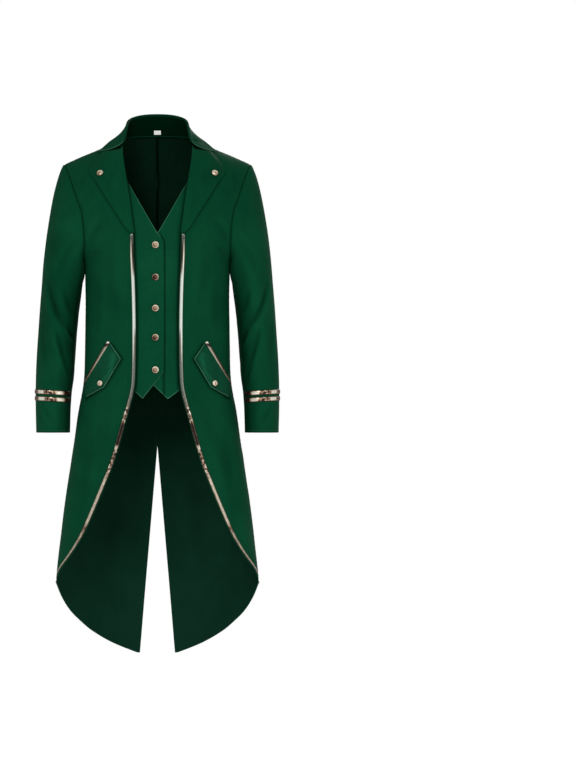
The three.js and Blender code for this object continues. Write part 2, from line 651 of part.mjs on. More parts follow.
const frontTrimLine = [
  -233, ...[-260, -287, -331, -375, -419, -463, -510, -557, -590, -620, -651],
  ...[-680, -720, -760, -800, -832, -880, -921, -959, -985, -1010, -1030, -1043],
].map((z) => bodyAt('front', frontEdge(z), z));
const TRIM_TAPER = { from: 17, by: 0.08 };   // row where the trim starts to narrow, and how fast
const frontTrimWidth = (i) => TRIM_WIDTH * (1 - TRIM_TAPER.by * Math.max(0, i - TRIM_TAPER.from));
addPair('trim_front', band('front', frontTrimLine, frontTrimWidth, vector(1, 0, 0.6)), 'trim');

const HEM_TRIM_STEPS = 12;
const HEM_TRIM_ENDS = [0.04, 0.985];   // shares of the hem, clear of the vent's trim and the side seam
const hemLine = Array.from({ length: HEM_TRIM_STEPS + 1 }, (_, j) => {
  const { angle, z } = hemSpot(lerp(...HEM_TRIM_ENDS, j / HEM_TRIM_STEPS));
  return bodyRound('back', angle, z);
});
addPair('trim_hem', band('back', hemLine, () => HEM_TRIM, vector(0, 0, 1)), 'copper');

const VENT_TRIM_LEVELS = [-719, -729, -800, -880, -960, -1040, -1120, -1180, -1226];
const ventLine = VENT_TRIM_LEVELS.map((z) => bodyAt('back', ventEdge(z), z));
const VENT_TRIM_TOP = 10.7;            // width of the vent's trim under the cap
const ventWidth = (i) => lerp(VENT_TRIM_TOP, HEM_TRIM, i / (VENT_TRIM_LEVELS.length - 1));
addPair('trim_vent', band('back', ventLine, ventWidth, vector(1, 0, 0)), 'copper');

const capRows = VENT_CAP.map(({ z, half }) => [-1, -0.5, 0, 0.5, 1].map((s) => bodyAt('back', s * half, z)));
add('vent_cap', sheet(capRows, REST, TRIM_THICK), 'trim');

// ---------------------------------------------------------------- pockets

const POCKET_STEPS = 9;
const pocketLine = Array.from({ length: POCKET_STEPS + 1 }, (_, i) => {
  const t = i / POCKET_STEPS;
  const [upper, lower] = POCKET_TOP;
  return bodyAt('front', lerp(upper.x, lower.x, t), lerp(upper.z, lower.z, t));
});
const downFront = vector(-0.6, -0.3, -1).normalize();
const upBack = downFront.clone().negate();
addPair('flap_trim', band('front', pocketLine, () => POCKET_TRIM, upBack, REST_HIP), 'trim');

const FLAP_GAP = 0.6;
const flapLow = (t) => {
  const place = t * (FLAP_LOW.length - 1);
  const k = Math.min(Math.floor(place), FLAP_LOW.length - 2);
  const part = place - k;
  return bodyRound(
    'front',
    lerp(FLAP_LOW[k].around, FLAP_LOW[k + 1].around, part) * Math.PI / 2,
    lerp(FLAP_LOW[k].z, FLAP_LOW[k + 1].z, part),
  );
};
const flapRows = [0, 0.25, 0.5, 0.75, 1].map((down) => (
  Array.from({ length: 2 * (FLAP_LOW.length - 1) + 1 }, (_, j) => {
    const t = j / (2 * (FLAP_LOW.length - 1));
    const line = pocketLine.map(({ point }) => point);
    const place = Math.min(t * POCKET_STEPS, POCKET_STEPS - 1e-6);
    const top = mix(line[Math.floor(place)], line[Math.floor(place) + 1], place % 1)
      .addScaledVector(downFront, FLAP_GAP);
    return bodyNear('front', mix(top, flapLow(t).point, down));
  })
));
addPair('flap', sheet(flapRows, REST_HIP, CLOTH), 'cloth');

// ---------------------------------------------------------------- half-belt tab

const tabRows = [0, 0.5, 1].map((t) => TAB.map(({ x, top, low }) => bodyAt('back', x, lerp(top, low, t))));
add('back_tab', sheet(tabRows, 2 * REST, CLOTH), 'cloth');

// ---------------------------------------------------------------- buttons

// A pressed metal button: a raised ring round a sunk middle with a small dome.
function addButton(name, spot, radius, lift) {
  const profile = [
    [0, 0], [1, 0], [0.95, 0.7], [0.8, 0.8], [0.55, 0.4], [0, 1],
  ].map(([r, h]) => new THREE.Vector2(r * radius, h * BUTTON_HEIGHT));
  const mesh = add(name, new THREE.LatheGeometry(profile, 10), 'button');
  mesh.quaternion.setFromUnitVectors(vector(0, 1, 0), spot.normal);
  mesh.position.copy(spot.point).addScaledVector(spot.normal, lift);
}

const flipped = ({ point, normal }) => ({
  point: point.clone().setX(-point.x), normal: normal.clone().setX(-normal.x),
});

function addButtonPair(name, spot, radius, lift) {
  addButton(`${name}_left`, spot, radius, lift);
  addButton(`${name}_right`, flipped(spot), radius, lift);
}

const ON_PATCH = 3 * REST + CLOTH;
const buttonSpot = (face, { x, z }) => bodyAt(face, x, z);
VEST_BUTTONS.forEach((z, k) => {
  const spot = bodyAt('front', -VEST_BUTTON_X, z);
  addButton(`vest_button_${k + 1}`, spot, BUTTON_RADIUS.vest, 2 * REST - VEST_INSET.right);
});
const onFlap = REST_HIP + REST + CLOTH;
addButtonPair('lapel_button', buttonSpot('front', LAPEL_BUTTON), BUTTON_RADIUS.lapel, ON_PATCH + LAPEL_ROLL);
addButtonPair('flap_button', buttonSpot('front', FLAP_BUTTON), BUTTON_RADIUS.flap, onFlap);
addButtonPair('tab_button', buttonSpot('back', TAB_BUTTON), BUTTON_RADIUS.tab, ON_PATCH + REST);
CUFF_BUTTONS.forEach((z, k) => {
  addButtonPair(`cuff_button_${k + 1}`, sleeveSpot(CUFF_BUTTON_COLUMN, z), BUTTON_RADIUS.cuff, 2 * REST);
});

export default coat;
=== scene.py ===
"""Looks of a long tailcoat with a mock waistcoat front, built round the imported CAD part.

Sizes in the tables are millimetres, +Z up, the front faces -Y, and the wearer's left is +X.
Every piece of cloth is a thin shell on the form of its CAD solid.
"""

import math

import bpy
import mathutils
import numpy as np
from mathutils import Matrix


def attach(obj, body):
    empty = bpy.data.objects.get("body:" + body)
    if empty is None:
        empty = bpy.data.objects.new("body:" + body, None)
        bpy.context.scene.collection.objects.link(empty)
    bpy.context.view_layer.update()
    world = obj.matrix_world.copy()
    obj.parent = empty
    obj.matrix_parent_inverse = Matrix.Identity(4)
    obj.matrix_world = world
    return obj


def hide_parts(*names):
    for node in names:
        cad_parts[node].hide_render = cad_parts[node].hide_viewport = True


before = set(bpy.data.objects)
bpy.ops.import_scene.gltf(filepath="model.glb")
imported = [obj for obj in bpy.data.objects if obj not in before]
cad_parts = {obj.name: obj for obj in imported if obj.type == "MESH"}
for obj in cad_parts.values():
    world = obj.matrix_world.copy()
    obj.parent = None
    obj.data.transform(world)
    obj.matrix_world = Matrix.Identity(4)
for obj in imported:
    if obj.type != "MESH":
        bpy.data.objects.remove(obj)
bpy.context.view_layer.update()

MM = 0.001
CLOTH, VEST_CLOTH = 2.0, 1.5
SEAM, REST, REST_HIP = 0.4, 0.6, 1.7     # gap of a seam, gap under what is sewn on, and at the hip
SIDES = (("left", False), ("right", True))     # the right side is the mirror image
SHOULDER_X, ARMHOLE_TOP, ARMHOLE_BOTTOM, RIDGE_ROUND = 222.0, -66.0, -300.0, 90.0
VENT_TOP, TIP_X, TIP_Z, SIDE_CORNER, FRONT_END = -729.0, 42.8, -1232.0, -1063.0, -1052.0
TRIM_WIDTH, HEM_TRIM, BAND_WIDTH = 9.5, 6.0, 10.5

# ---------------------------------------------------------------- tables of the coat's form

# height, half width, front and back depth from the side line, side line, squareness
BODY = [
    (60, 232, 74, 58, -50, 2.4), (0, 232, 80, 63.5, -55, 2.4), (-66, 229, 86, 94, -70, 2.5),
    (-120, 217, 107, 109, -76, 2.6), (-181, 207, 118, 116, -80, 2.6), (-243, 197, 120, 114, -82, 2.5),
    (-300, 174.2, 117, 105, -82, 2.4), (-324, 172.5, 115, 100, -82, 2.4), (-390, 171.4, 108, 89, -82, 2.4),
    (-460, 172.3, 103, 85, -80, 2.4), (-560, 174.2, 107, 96, -78, 2.3), (-600, 178, 110, 101, -76, 2.3),
    (-651, 187.5, 113, 106, -74, 2.3), (-735, 200, 116, 110, -70, 2.3), (-863, 219.5, 124, 114, -66, 2.2),
    (-981, 234, 131, 118, -62, 2.2), (-1063, 242, 136, 121, -59, 2.2), (-1240, 248, 142, 127, -54, 2.2),
]
# distance from the middle, height of the shoulder seam
RIDGE = [(-76, 2), (0, 45), (76, 2), (88, -4), (116, -17), (137, -29), (180, -47), (222, -66)]
# height, distance from the middle
ARMHOLE = [(-66, 222), (-97, 210), (-150, 192.3), (-181, 181.5), (-243, 174.7), (-300, 174.2)]
FRONT_EDGE = [
    (0, 79), (-12, 81.5), (-33, 84.5), (-81, 79.7), (-100, 75), (-165, 66), (-231, 57.5), (-287, 55.5),
    (-375, 52.1), (-463, 50.7), (-557, 51.9), (-605, 55.5), (-680, 75.8), (-771, 101.9), (-832, 125.6),
    (-921, 163.2), (-959, 182.2), (-997, 206.8), (-1030, 231), (-1052, 241.2),
]
# distance from the middle, height
HEM = [
    (42.8, -1232), (50, -1231), (111, -1206), (158, -1178), (185, -1155), (210, -1129), (229, -1097),
    (242, -1063),
]
# height, inner side, outer side, middle and half of the depth
SLEEVE = [
    (-340, 176.8, 274.8, -77, 68), (-375, 181, 277.5, -73, 67), (-427, 187.8, 281.5, -68, 64),
    (-507, 194.4, 287, -65, 61), (-573, 199, 290, -70, 57), (-610, 204, 290.6, -77, 54),
    (-650, 206.5, 290.3, -86, 51), (-705, 208.2, 289, -98, 48),
]
SLEEVE_STEPS, FORE_SEAM, HIND_SEAM = 24, 10, 15
SLEEVE_TOP, CUFF_END = -340.0, -705.0
CUFF_BANDS, BAND_DROP = (-608, -624), 5.0

# ---------------------------------------------------------------- curves and the body form


def lerp(a, b, t):
    return a + (b - a) * t


def rising(distance, width):
    """0 at the start of a width, 1 at its end and beyond."""
    return np.clip(distance / width, 0, 1)


def unit(v):
    return v / np.maximum(np.linalg.norm(v, axis=-1, keepdims=True), 1e-9)


def curve(table, column=1):
    """A smooth curve through one column of a table, looked up by the first."""
    rows = np.asarray(sorted(table, key=lambda row: row[0]), float)
    keys, values = rows[:, 0], rows[:, column]
    slopes = np.concatenate([
        [(values[1] - values[0]) / (keys[1] - keys[0])],
        (values[2:] - values[:-2]) / (keys[2:] - keys[:-2]),
        [(values[-1] - values[-2]) / (keys[-1] - keys[-2])],
    ])

    def at(x):
        i = np.clip(np.searchsorted(keys, x, side="right") - 1, 0, len(keys) - 2)
        span = keys[i + 1] - keys[i]
        t = np.clip((x - keys[i]) / span, 0, 1)
        rise = t * t * (3 - 2 * t)
        return (lerp(values[i], values[i + 1], rise)
                + slopes[i] * span * t * (1 - t) ** 2 - slopes[i + 1] * span * t * t * (1 - t))
    return at


body_half, body_side, body_square = (curve(BODY, column=c) for c in (1, 4, 5))
body_depth = {"front": curve(BODY, column=2), "back": curve(BODY, column=3)}
ridge, armhole, front_edge, hem = (curve(t) for t in (RIDGE, ARMHOLE, FRONT_EDGE, HEM))


def slope(at, x):
    return (at(x + 1) - at(x - 1)) / 2


def body_spot(face, across, deep, z):
    """Points and outward normals: across is the share of the half width, deep that of the depth."""
    half, depth, n = body_half(z), body_depth[face](z), body_square(z)
    x = across * half
    t = np.clip((ridge(x) - z) / RIDGE_ROUND, 0, 1)
    turn = np.sqrt(1 - (1 - t) ** 2)
    forward = -1 if face == "front" else 1
    y = body_side(z) + forward * (depth * deep * turn + SEAM / 2)
    steep, tall, weight = (1 - t) / RIDGE_ROUND, deep ** n, turn * deep ** (n - 1)
    normal = np.stack([
        depth * (turn ** 2 * across ** (n - 1) / half - tall * steep * slope(ridge, x)),
        forward * weight,
        depth * (tall * steep - turn ** 2 * across ** n * slope(body_half, z) / half)
        - slope(body_depth[face], z) * tall * turn ** 2 - forward * weight * slope(body_side, z),
    ], axis=-1)
    return np.stack([x, y, z + 0 * x], axis=-1), unit(normal)


def body_at(face, x, z):
    """By distance from the middle, which may be negative."""
    x, z = np.broadcast_arrays(np.asarray(x, float), np.asarray(z, float))
    n = body_square(z)
    across = np.minimum(np.abs(x) / body_half(z), 1)
    point, normal = body_spot(face, across, np.maximum(1 - across ** n, 0) ** (1 / n), z)
    flip = np.where(x < 0, -1.0, 1.0)[..., None] * [1, 0, 0] + [0, 1, 1]
    return point * flip, normal * flip


def body_round(face, angle, z):
    """By angle round the section: 0 at the centre line, a quarter turn at the side seam."""
    angle, z = np.broadcast_arrays(np.asarray(angle, float), np.asarray(z, float))
    n = body_square(z)
    s, c = np.sin(angle), np.maximum(np.cos(angle), 0)
    r = (s ** n + c ** n) ** (-1 / n)
    return body_spot(face, r * s, r * c, z)


def angle_at(x, z):
    n = body_square(z)
    share = np.minimum(x / body_half(z), 1) ** n
    return np.arctan2(share ** (1 / n), np.maximum(1 - share, 0) ** (1 / n))


def body_near(face, point):
    """The body spots nearest to points that lie close to the body, on the wearer's left."""
    z, forward = point[..., 2], -1 if face == "front" else 1
    return body_round(face, np.arctan2(
        np.maximum(point[..., 0], 0) / body_half(z),
        np.maximum((point[..., 1] - body_side(z)) * forward, 0) / body_depth[face](z)), z)


# ---------------------------------------------------------------- meshes

FLIP = np.array([-1.0, 1.0, 1.0])
SHOWN = "_piece"                     # a piece has the name of its CAD node and this


def spaced(count, near=()):
    """Shares from 0 to 1, with more of them near both ends."""
    inner = [x for x in np.linspace(0, 1, count + 1) if max(near, default=0) < x < 1 - max(near, default=0)]
    return np.array([0, *near, *inner, *(1 - x for x in reversed(near)), 1])


def lengths(points, axis):
    """Distance along the rows or columns of a grid of points."""
    step = np.linalg.norm(np.diff(points, axis=axis), axis=-1)
    pad = [(0, 0), (0, 0)]
    pad[axis] = (1, 0)
    return np.pad(np.cumsum(step, axis=axis), pad)


def grid_normals(points, out):
    """Normals of a grid of points, turned to the side of the direction out."""
    down, across = np.gradient(points, axis=0), np.gradient(points, axis=1)
    normal = unit(np.cross(across, down))
    return normal * (1 if np.sum(normal * out) > 0 else -1)


def link(name, points, faces, uv, materials, face_material=None, shade=1.0):
    """A mesh object from points in millimetres, facing outward. shade is painted light and shade on each
    point, which the cloth material multiplies into its colour.
    """
    points, faces = np.asarray(points, float) * MM, [tuple(f) for f in faces]
    mesh = bpy.data.meshes.new(name + SHOWN)
    a, b, c = (points[[f[k] for f in faces]] for k in range(3))
    if np.sum(a * np.cross(b, c)) < 0:
        faces = [f[::-1] for f in faces]
    mesh.from_pydata(points, [], faces)
    mesh.update()
    index = np.zeros(len(mesh.loops), int)
    mesh.loops.foreach_get("vertex_index", index)
    layer = mesh.uv_layers.new(name="cloth")
    layer.data.foreach_set("uv", (np.asarray(uv, float)[index] * MM).ravel())
    for m in materials:
        mesh.materials.append(m)
    if face_material is not None:
        mesh.polygons.foreach_set("material_index", np.asarray(face_material, np.int32))
    mesh.polygons.foreach_set("use_smooth", np.full(len(mesh.polygons), True))
    # the shade attribute carries painted shade and painted highlight into the cloth's colour
    depth = mesh.attributes.new("shade", "FLOAT", "POINT")
    depth.data.foreach_set("value", np.broadcast_to(shade, len(points)).astype(np.float32))
    piece = bpy.data.objects.new(name + SHOWN, mesh)
    bpy.context.scene.collection.objects.link(piece)
    return piece


def grid_faces(rows, cols, first=0):
    i, j = np.mgrid[0:rows - 1, 0:cols - 1]
    a = (first + i * cols + j).ravel()
    return np.stack([a, a + cols, a + cols + 1, a + 1], axis=-1)


def border(rows, cols):
    """Grid indices round the edge, and those of each one's neighbour inside the edge."""
    loop = ([(0, j) for j in range(cols)] + [(i, cols - 1) for i in range(1, rows)]
            + [(rows - 1, j) for j in range(cols - 2, -1, -1)]
            + [(i, 0) for i in range(rows - 2, 0, -1)])
    i, j = np.array(loop).T
    return i, j, np.clip(i, 1, rows - 2), np.clip(j, 1, cols - 2)


CUT = {}                             # of each shell, the size and area of the flat cloth


def cut_size(points):
    """Width and length in metres, and area, of the flat cloth for a grid of points."""
    wide, long = lengths(points, 1)[:, -1].max() * MM, lengths(points, 0)[-1].max() * MM
    across, down = points[:-1, 1:] - points[:-1, :-1], points[1:, :-1] - points[:-1, :-1]
    area = np.linalg.norm(np.cross(across, down), axis=-1).sum() * MM * MM
    return (wide, long), min(area, wide * long)


def shell(name, points, normals, materials, lift=0.0, thick=CLOTH, mirror=False, round_rim=0.45,
          shade=(1.0, 1.0), highlight_mask=True, uv=None):
    """A closed thin shell between two layers of a grid, with a rounded rim all round.

    lift is the height of the lower layer above the points. The materials are those of the face,
    its other side and its rim; where the mask says, the rim and the outermost strip of the face take
    the third, a lighter copy of the cloth that is a painted highlight. shade is the painted shade of
    the face and its other side.
    """
    CUT[name] = cut_size(points)
    if mirror:
        points, normals = points * FLIP, normals * FLIP
    rows, cols = points.shape[:2]
    lift, thick = (np.broadcast_to(size, (rows, cols))[..., None] for size in (lift, thick))
    low, high = points + normals * lift, points + normals * (lift + thick)
    i, j, inner_i, inner_j = border(rows, cols)
    outward = unit(points[i, j] - points[inner_i, inner_j])
    rim = (low[i, j] + high[i, j]) / 2 + outward * thick[i, j] * round_rim
    count = rows * cols
    top, under = grid_faces(rows, cols), grid_faces(rows, cols, count)[:, ::-1]
    around = np.arange(len(i))
    after = np.roll(around, -1)
    edge, middle = i * cols + j, 2 * count + around
    rims = np.concatenate([
        np.stack([edge[around], edge[after], middle[after], middle[around]], axis=-1),
        np.stack([middle[around], middle[after], count + edge[after], count + edge[around]], axis=-1),
    ])
    if uv is None:
        uv = np.stack([lengths(points, 1), lengths(points, 0)], axis=-1)
    kinds = np.concatenate([
        np.zeros(len(top)), np.full(len(under), min(1, len(materials) - 1)), np.zeros(len(rims))])
    # the rim and the outermost strip take the third material, a painted highlight
    if len(materials) > 2:
        highlight_mask = np.broadcast_to(highlight_mask, (rows, cols))
        on_edge = np.zeros((rows, cols), bool)
        on_edge[[0, -2], :], on_edge[:, [0, -2]] = True, True
        kinds[:len(top)][(on_edge & highlight_mask)[:-1, :-1].ravel()] = 2
        kinds[-len(rims):] = 2 * np.tile(highlight_mask[i, j], 2)
    face_shade, under_shade = (np.broadcast_to(part, (rows, cols)) for part in shade)
    return link(
        name, np.concatenate([high.reshape(-1, 3), low.reshape(-1, 3), rim]),
        np.concatenate([top, under, rims]),
        np.concatenate([uv.reshape(-1, 2), uv.reshape(-1, 2), uv[i, j]]), materials, kinds,
        np.concatenate([face_shade.ravel(), under_shade.ravel(), face_shade[i, j]]))


TURNED_WIDE, TURNED_DEEP = 3.5, 2.3  # width of a turned-under strip, and how far it drops


def with_allowance(points, normals, lift, shades, sides):
    """The same grids with a strip of cloth turned under beyond the named sides, as at a seam.

    A side is top, left or right, and its value says how much of the width each spot has.
    """
    grids = [points, normals, lift, *shades]
    for side, share in sides.items():
        axis, end = {"top": (0, 0), "left": (1, 0), "right": (1, -1)}[side]
        edge, inner = (np.take(grids[0], [k], axis) for k in (end, 1 if end == 0 else -2))
        share = np.maximum(np.expand_dims(np.asarray(share, float), axis), 0.02)
        away = unit(edge - inner) * TURNED_WIDE * share[..., None]
        ends = [np.take(grid, [end], axis) for grid in grids]
        ends[2] = ends[2] - TURNED_DEEP * share
        for part in (0.3, 1.0):
            ends[0] = edge + away * part
            grids = [np.concatenate((old, new) if end else (new, old), axis)
                     for old, new in zip(grids, ends)]
    return grids[0], grids[1], grids[2], grids[3:]


def creases(a, b, table):
    """Height of listed creases over two coordinates in millimetres.

    Each row is a start, an end, how far it bows, its width and its depth: a soft trough with a
    lower ridge beside it, fading out at both ends.
    """
    total = np.zeros(np.broadcast(a, b).shape)
    for a0, b0, a1, b1, bow, width, depth in table:
        run = math.hypot(a1 - a0, b1 - b0)
        s = ((a - a0) * (a1 - a0) + (b - b0) * (b1 - b0)) / run ** 2
        off = ((a - a0) * (b1 - b0) - (b - b0) * (a1 - a0)) / run - bow * 4 * s * (1 - s)
        fade = np.sin(np.clip(s, 0, 1) * math.pi) ** 0.8
        trough = np.exp(-((off / width) ** 2))
        side = np.exp(-(((off - 1.5 * width) / width) ** 2))
        total += depth * fade * (0.55 * side - trough)
    return total


def unevenness(a, b, size, seed):
    """Slow waves that no cloth is free of, the same on every run."""
    rng = np.random.default_rng(seed)
    total = np.zeros(np.broadcast(a, b).shape)
    for _ in range(7):
        turn, phase, length = rng.uniform(0, math.pi), rng.uniform(0, 2 * math.pi), rng.uniform(55, 170)
        total += np.sin((a * math.cos(turn) + b * math.sin(turn)) * 2 * math.pi / length + phase)
    return total * size / 7


def near(distance, width):
    """1 on a line and 0 well away from it."""
    return np.exp(-((distance / width) ** 2))


def off_line(a, b, corners):
    """Distance from a line through corners, over two coordinates in millimetres."""
    best = np.full(np.broadcast(a, b).shape, 1e9)
    for (a0, b0), (a1, b1) in zip(corners, corners[1:]):
        t = np.clip(((a - a0) * (a1 - a0) + (b - b0) * (b1 - b0)) / ((a1 - a0) ** 2 + (b1 - b0) ** 2), 0, 1)
        best = np.minimum(best, np.hypot(a - lerp(a0, a1, t), b - lerp(b0, b1, t)))
    return best


def folds_shade(bend, strength=0.075):
    """Painted shade in the cloth's troughs and a painted highlight on its ridges."""
    return np.clip(1 + strength * bend, 0.5, 1.12)


def sewn(distance, along, depth=1.5):
    """The dip of a seam, with the faint pucker of its stitches."""
    dip = -depth * near(distance, 2.4)
    pucker = 0.22 * np.sin(along * 2 * math.pi / 13 + 2 * np.sin(along / 41))
    return dip + pucker * near(distance, 9)


# ---------------------------------------------------------------- materials


def linear(*rgb):
    """A colour given as 8-bit sRGB, as the shader wants it."""
    share = [c / 255 for c in rgb]
    return (*[c / 12.92 if c < 0.04045 else ((c + 0.055) / 1.055) ** 2.4 for c in share], 1)


def new_material(name, **sockets):
    material = bpy.data.materials.new(name)
    material.use_nodes = True
    tree = material.node_tree
    shader = tree.nodes["Principled BSDF"]
    for socket, value in sockets.items():
        shader.inputs[socket.replace("_", " ")].default_value = value
    return material, tree, shader


def node(tree, kind, inputs=(), **settings):
    made = tree.nodes.new("ShaderNode" + kind)
    for key, value in settings.items():
        setattr(made, key, value)
    for key, value in dict(inputs).items():
        if isinstance(value, bpy.types.NodeSocket):
            tree.links.new(value, made.inputs[key])
        else:
            made.inputs[key].default_value = value
    return made


def sums(tree, operation, *values):
    """A Math node's output."""
    return node(tree, "Math", dict(enumerate(values)), operation=operation).outputs[0]


def noise(tree, vector, scale, detail=2.0, stretch=(1, 1, 1)):
    placed = node(tree, "Mapping", {"Vector": vector, "Scale": stretch})
    inputs = {"Vector": placed.outputs[0], "Scale": scale, "Detail": detail}
    return node(tree, "TexNoise", inputs).outputs[0]


def grey(stops):
    return [(place, (value,) * 3 + (1,)) for place, value in stops]


def bump(tree, height, strength, distance, **more):
    inputs = {"Height": height, "Strength": strength, "Distance": distance, **more}
    return node(tree, "Bump", inputs).outputs[0]


def ramp(tree, value, stops):
    made = node(tree, "ValToRGB", {"Fac": value})
    elements = made.color_ramp.elements
    while len(elements) < len(stops):
        elements.new(0.5)
    for element, (place, colour) in zip(elements, stops):
        element.position, element.color = place, colour
    return made.outputs[0]


TWILL_PITCH, YARN, WEAVE = 0.0011, 0.0006, 0.5   # metres, metres, strength


def cloth(name, deep, light, roughness=0.7, sheen=0.01):
    """A smooth twill: fine diagonal ribs, slubs, and slow changes of depth in the dye.
    Its colour is multiplied by the painted shade and highlight in the mesh's shade attribute.
    """
    material, tree, shader = new_material(
        name, Roughness=roughness, Sheen_Weight=sheen, Sheen_Roughness=0.45,
        Sheen_Tint=linear(40, 150, 105), Specular_IOR_Level=0.04, Specular_Tint=linear(60, 220, 160))
    place = node(tree, "TexCoord")
    uv, spot = place.outputs["UV"], place.outputs["Object"]
    slow = noise(tree, spot, 5.0, 3.0)
    streak = noise(tree, uv, 240.0, 2.0, (1, 0.12, 1))
    shade = sums(tree, "ADD", sums(tree, "MULTIPLY", slow, 0.75), sums(tree, "MULTIPLY", streak, 0.25))
    colour = ramp(tree, shade, [(0.3, deep), (0.7, light)])
    # painted shade and painted highlight from the mesh, multiplied into the colour
    depth = node(tree, "Attribute", attribute_name="shade").outputs["Fac"]
    colour = node(tree, "VectorMath", {0: colour, "Scale": depth}, operation="SCALE").outputs[0]
    tree.links.new(colour, shader.inputs["Base Color"])
    turned = node(tree, "Mapping", {"Vector": uv, "Rotation": (0, 0, math.radians(58))})
    rib = node(tree, "TexWave", {
        "Vector": turned.outputs[0], "Scale": 0.314 / TWILL_PITCH, "Distortion": 1.2, "Detail": 1.0,
        "Detail Scale": 2.0}).outputs["Fac"]
    yarn = noise(tree, uv, 1 / YARN, 1.0)
    height = sums(tree, "ADD", sums(tree, "MULTIPLY", rib, 0.7), sums(tree, "MULTIPLY", yarn, 0.5))
    fine = bump(tree, height, WEAVE, 0.00012)
    slub = bump(tree, noise(tree, spot, 38.0, 3.0), 0.25, 0.0016, Normal=fine)
    tree.links.new(slub, shader.inputs["Normal"])
    return material


CLOTH_OUT = cloth("green_twill", linear(6, 56, 35), linear(11, 67, 43))
# a darker copy of the cloth for the inner sides: painted shade
SHADED_CLOTH_INSIDE = cloth("green_twill_inside", linear(8, 33, 23), linear(13, 42, 30), roughness=0.85, sheen=0.0)
# a lighter copy of the cloth for rims: painted highlight where an edge catches the light
HIGHLIGHT_CLOTH_RIM = cloth("green_twill_edge", linear(44, 98, 72), linear(66, 116, 90), sheen=0.1)
# the same cloth a little lighter on the waistcoat front: painted light
VEST_OUT = cloth("waistcoat_twill", linear(7, 59, 38), linear(13, 72, 47))
# the same cloth a little lighter and smoother on the flaps: the lighter colour is painted light
FLAP_OUT = cloth("flap_twill", linear(9, 57, 38), linear(18, 70, 49), roughness=0.5)


ROSE = [
    (0.0, linear(14, 6, 4)), (0.2, linear(68, 34, 24)), (0.38, linear(122, 88, 68)),
    (0.55, linear(166, 142, 118)), (0.75, linear(206, 188, 162)), (0.95, linear(246, 238, 222)),
]
SILVER = [
    (0.0, linear(8, 10, 8)), (0.2, linear(44, 50, 44)), (0.45, linear(98, 106, 96)),
    (0.7, linear(162, 170, 158)), (0.92, linear(226, 236, 226)),
]
COPPER = [
    (0.0, linear(34, 18, 12)), (0.28, linear(96, 58, 40)), (0.55, linear(158, 106, 76)),
    (0.75, linear(196, 144, 110)), (0.95, linear(226, 190, 160)),
]
# How a foil looks along its band, with painted reflections. Each row has a place in millimetres, how light
# its painted reflection is, how silvery, how blotched with painted reflections, and how much painted shade
# darkens its inner side and its middle line.
TRIM_LOOK = [
    (-233, 0.6, 1, 0, 0, 0), (-243, 0.48, 1, 0, 0, 0.2), (-250, 0.56, 0.9, 0, 0.2, 0),
    (-262, 0.72, 0.6, 0.1, 0.5, 0), (-285, 0.92, 0.4, 0, 0.8, 0), (-315, 0.94, 0.6, 0, 0.5, 0),
    (-335, 0.96, 0.9, 0, 0.1, 0), (-455, 0.96, 1, 0, 0.1, 0), (-480, 0.92, 0.9, 0, 0.4, 0),
    (-510, 0.8, 0.8, 0.1, 0.35, 0), (-545, 0.68, 1, 0.1, 0.1, 0.15), (-600, 0.64, 1, 0.1, 0.1, 0.15),
    (-640, 0.6, 0.7, 0.4, 0.1, 0.1), (-652, 0.66, 0.4, 1.69, 0.1, 0.1), (-680, 0.62, 0.2, 1.69, 0.1, 0.2),
    (-688, 0.5, 0.1, 0.3, 0, 0.8), (-732, 0.5, 0.1, 0.3, 0, 0.8), (-740, 0.88, 0.4, 0.4, 0, 0),
    (-752, 0.54, 0.2, 1.6, 0, 0.2), (-795, 0.58, 0.2, 1.4, 0, 0.1), (-815, 0.72, 0.3, 0.4, 0, 0),
    (-920, 0.74, 0.3, 0.2, 0, 0), (-932, 0.36, 0.1, 0.5, 0, 0), (-944, 0.6, 0.3, 0.4, 0, 0),
    (-1043, 0.64, 0.4, 0.2, 0, 0),
]
FLAP_LOOK = [
    (-484, 0.96, 0.8, 0, 0, 0), (-492, 0.92, 0.6, 0, 0, 0), (-496, 0.2, 0.2, 0.5, 0, 0.2),
    (-503, 0.5, 0.5, 0.2, -0.36, 0.15), (-535, 0.44, 0.4, 0.3, -0.36, 0.2),
    (-560, 0.36, 0.2, 0.4, -0.3, 0.2), (-592, 0.26, 0, 0.5, -0.2, 0.1),
]
# this one goes by distance from the outer side of the sleeve
CUFF_LOOK = [
    (0, 0.5, 0, 0.6, 0, 0.35), (28, 0.54, 0, 0.6, 0, 0.3), (36, 0.94, 0.2, 0.1, 0, 0),
    (50, 0.94, 0.2, 0.1, 0, 0), (56, 0.6, 0, 1.3, 0, 0.35), (78, 0.6, 0, 1.3, 0, 0.35),
    (84, 0.88, 0.1, 0.3, 0, 0), (99, 0.84, 0.1, 0.3, 0, 0), (106, 0.4, 0, 0.8, 0, 0.3),
    (125, 0.34, 0, 0.6, 0, 0.2),
]
VENT_LOOK = [
    (-719, 0.5, 0.1, 1.6, 0.2, 0), (-760, 0.46, 0.1, 1.4, 0.2, 0), (-800, 0.46, 0, 0.9, 0.25, 0),
    (-900, 0.48, 0, 0.7, 0.3, 0), (-1235, 0.5, 0, 0.7, 0.3, 0),
]
CAP_LOOK = [
    (-698, 0.9, 0.8, 0.8, 0, 0), (-702, 0.8, 0.6, 1.2, 0, 0.2), (-705, 0.5, 0, 1.4, 0, 0.2),
    (-712, 0.5, 0, 1.4, 0, 0.2), (-714, 0.86, 0.5, 1, 0, 0.1), (-718, 0.8, 0.5, 1, 0, 0),
]
HEM_LOOK = [(-1040, 0.5, 0, 0.7, 0.25, 0), (-1235, 0.5, 0, 0.7, 0.25, 0)]
# painted shade along both edges of a band, where it meets the cloth
FOIL_EDGE_SHADE = [(0, 0.8), (0.09, 0.42), (0.2, 0.04), (0.3, 0), (0.7, 0), (0.8, 0.04), (0.91, 0.42), (1, 0.8)]


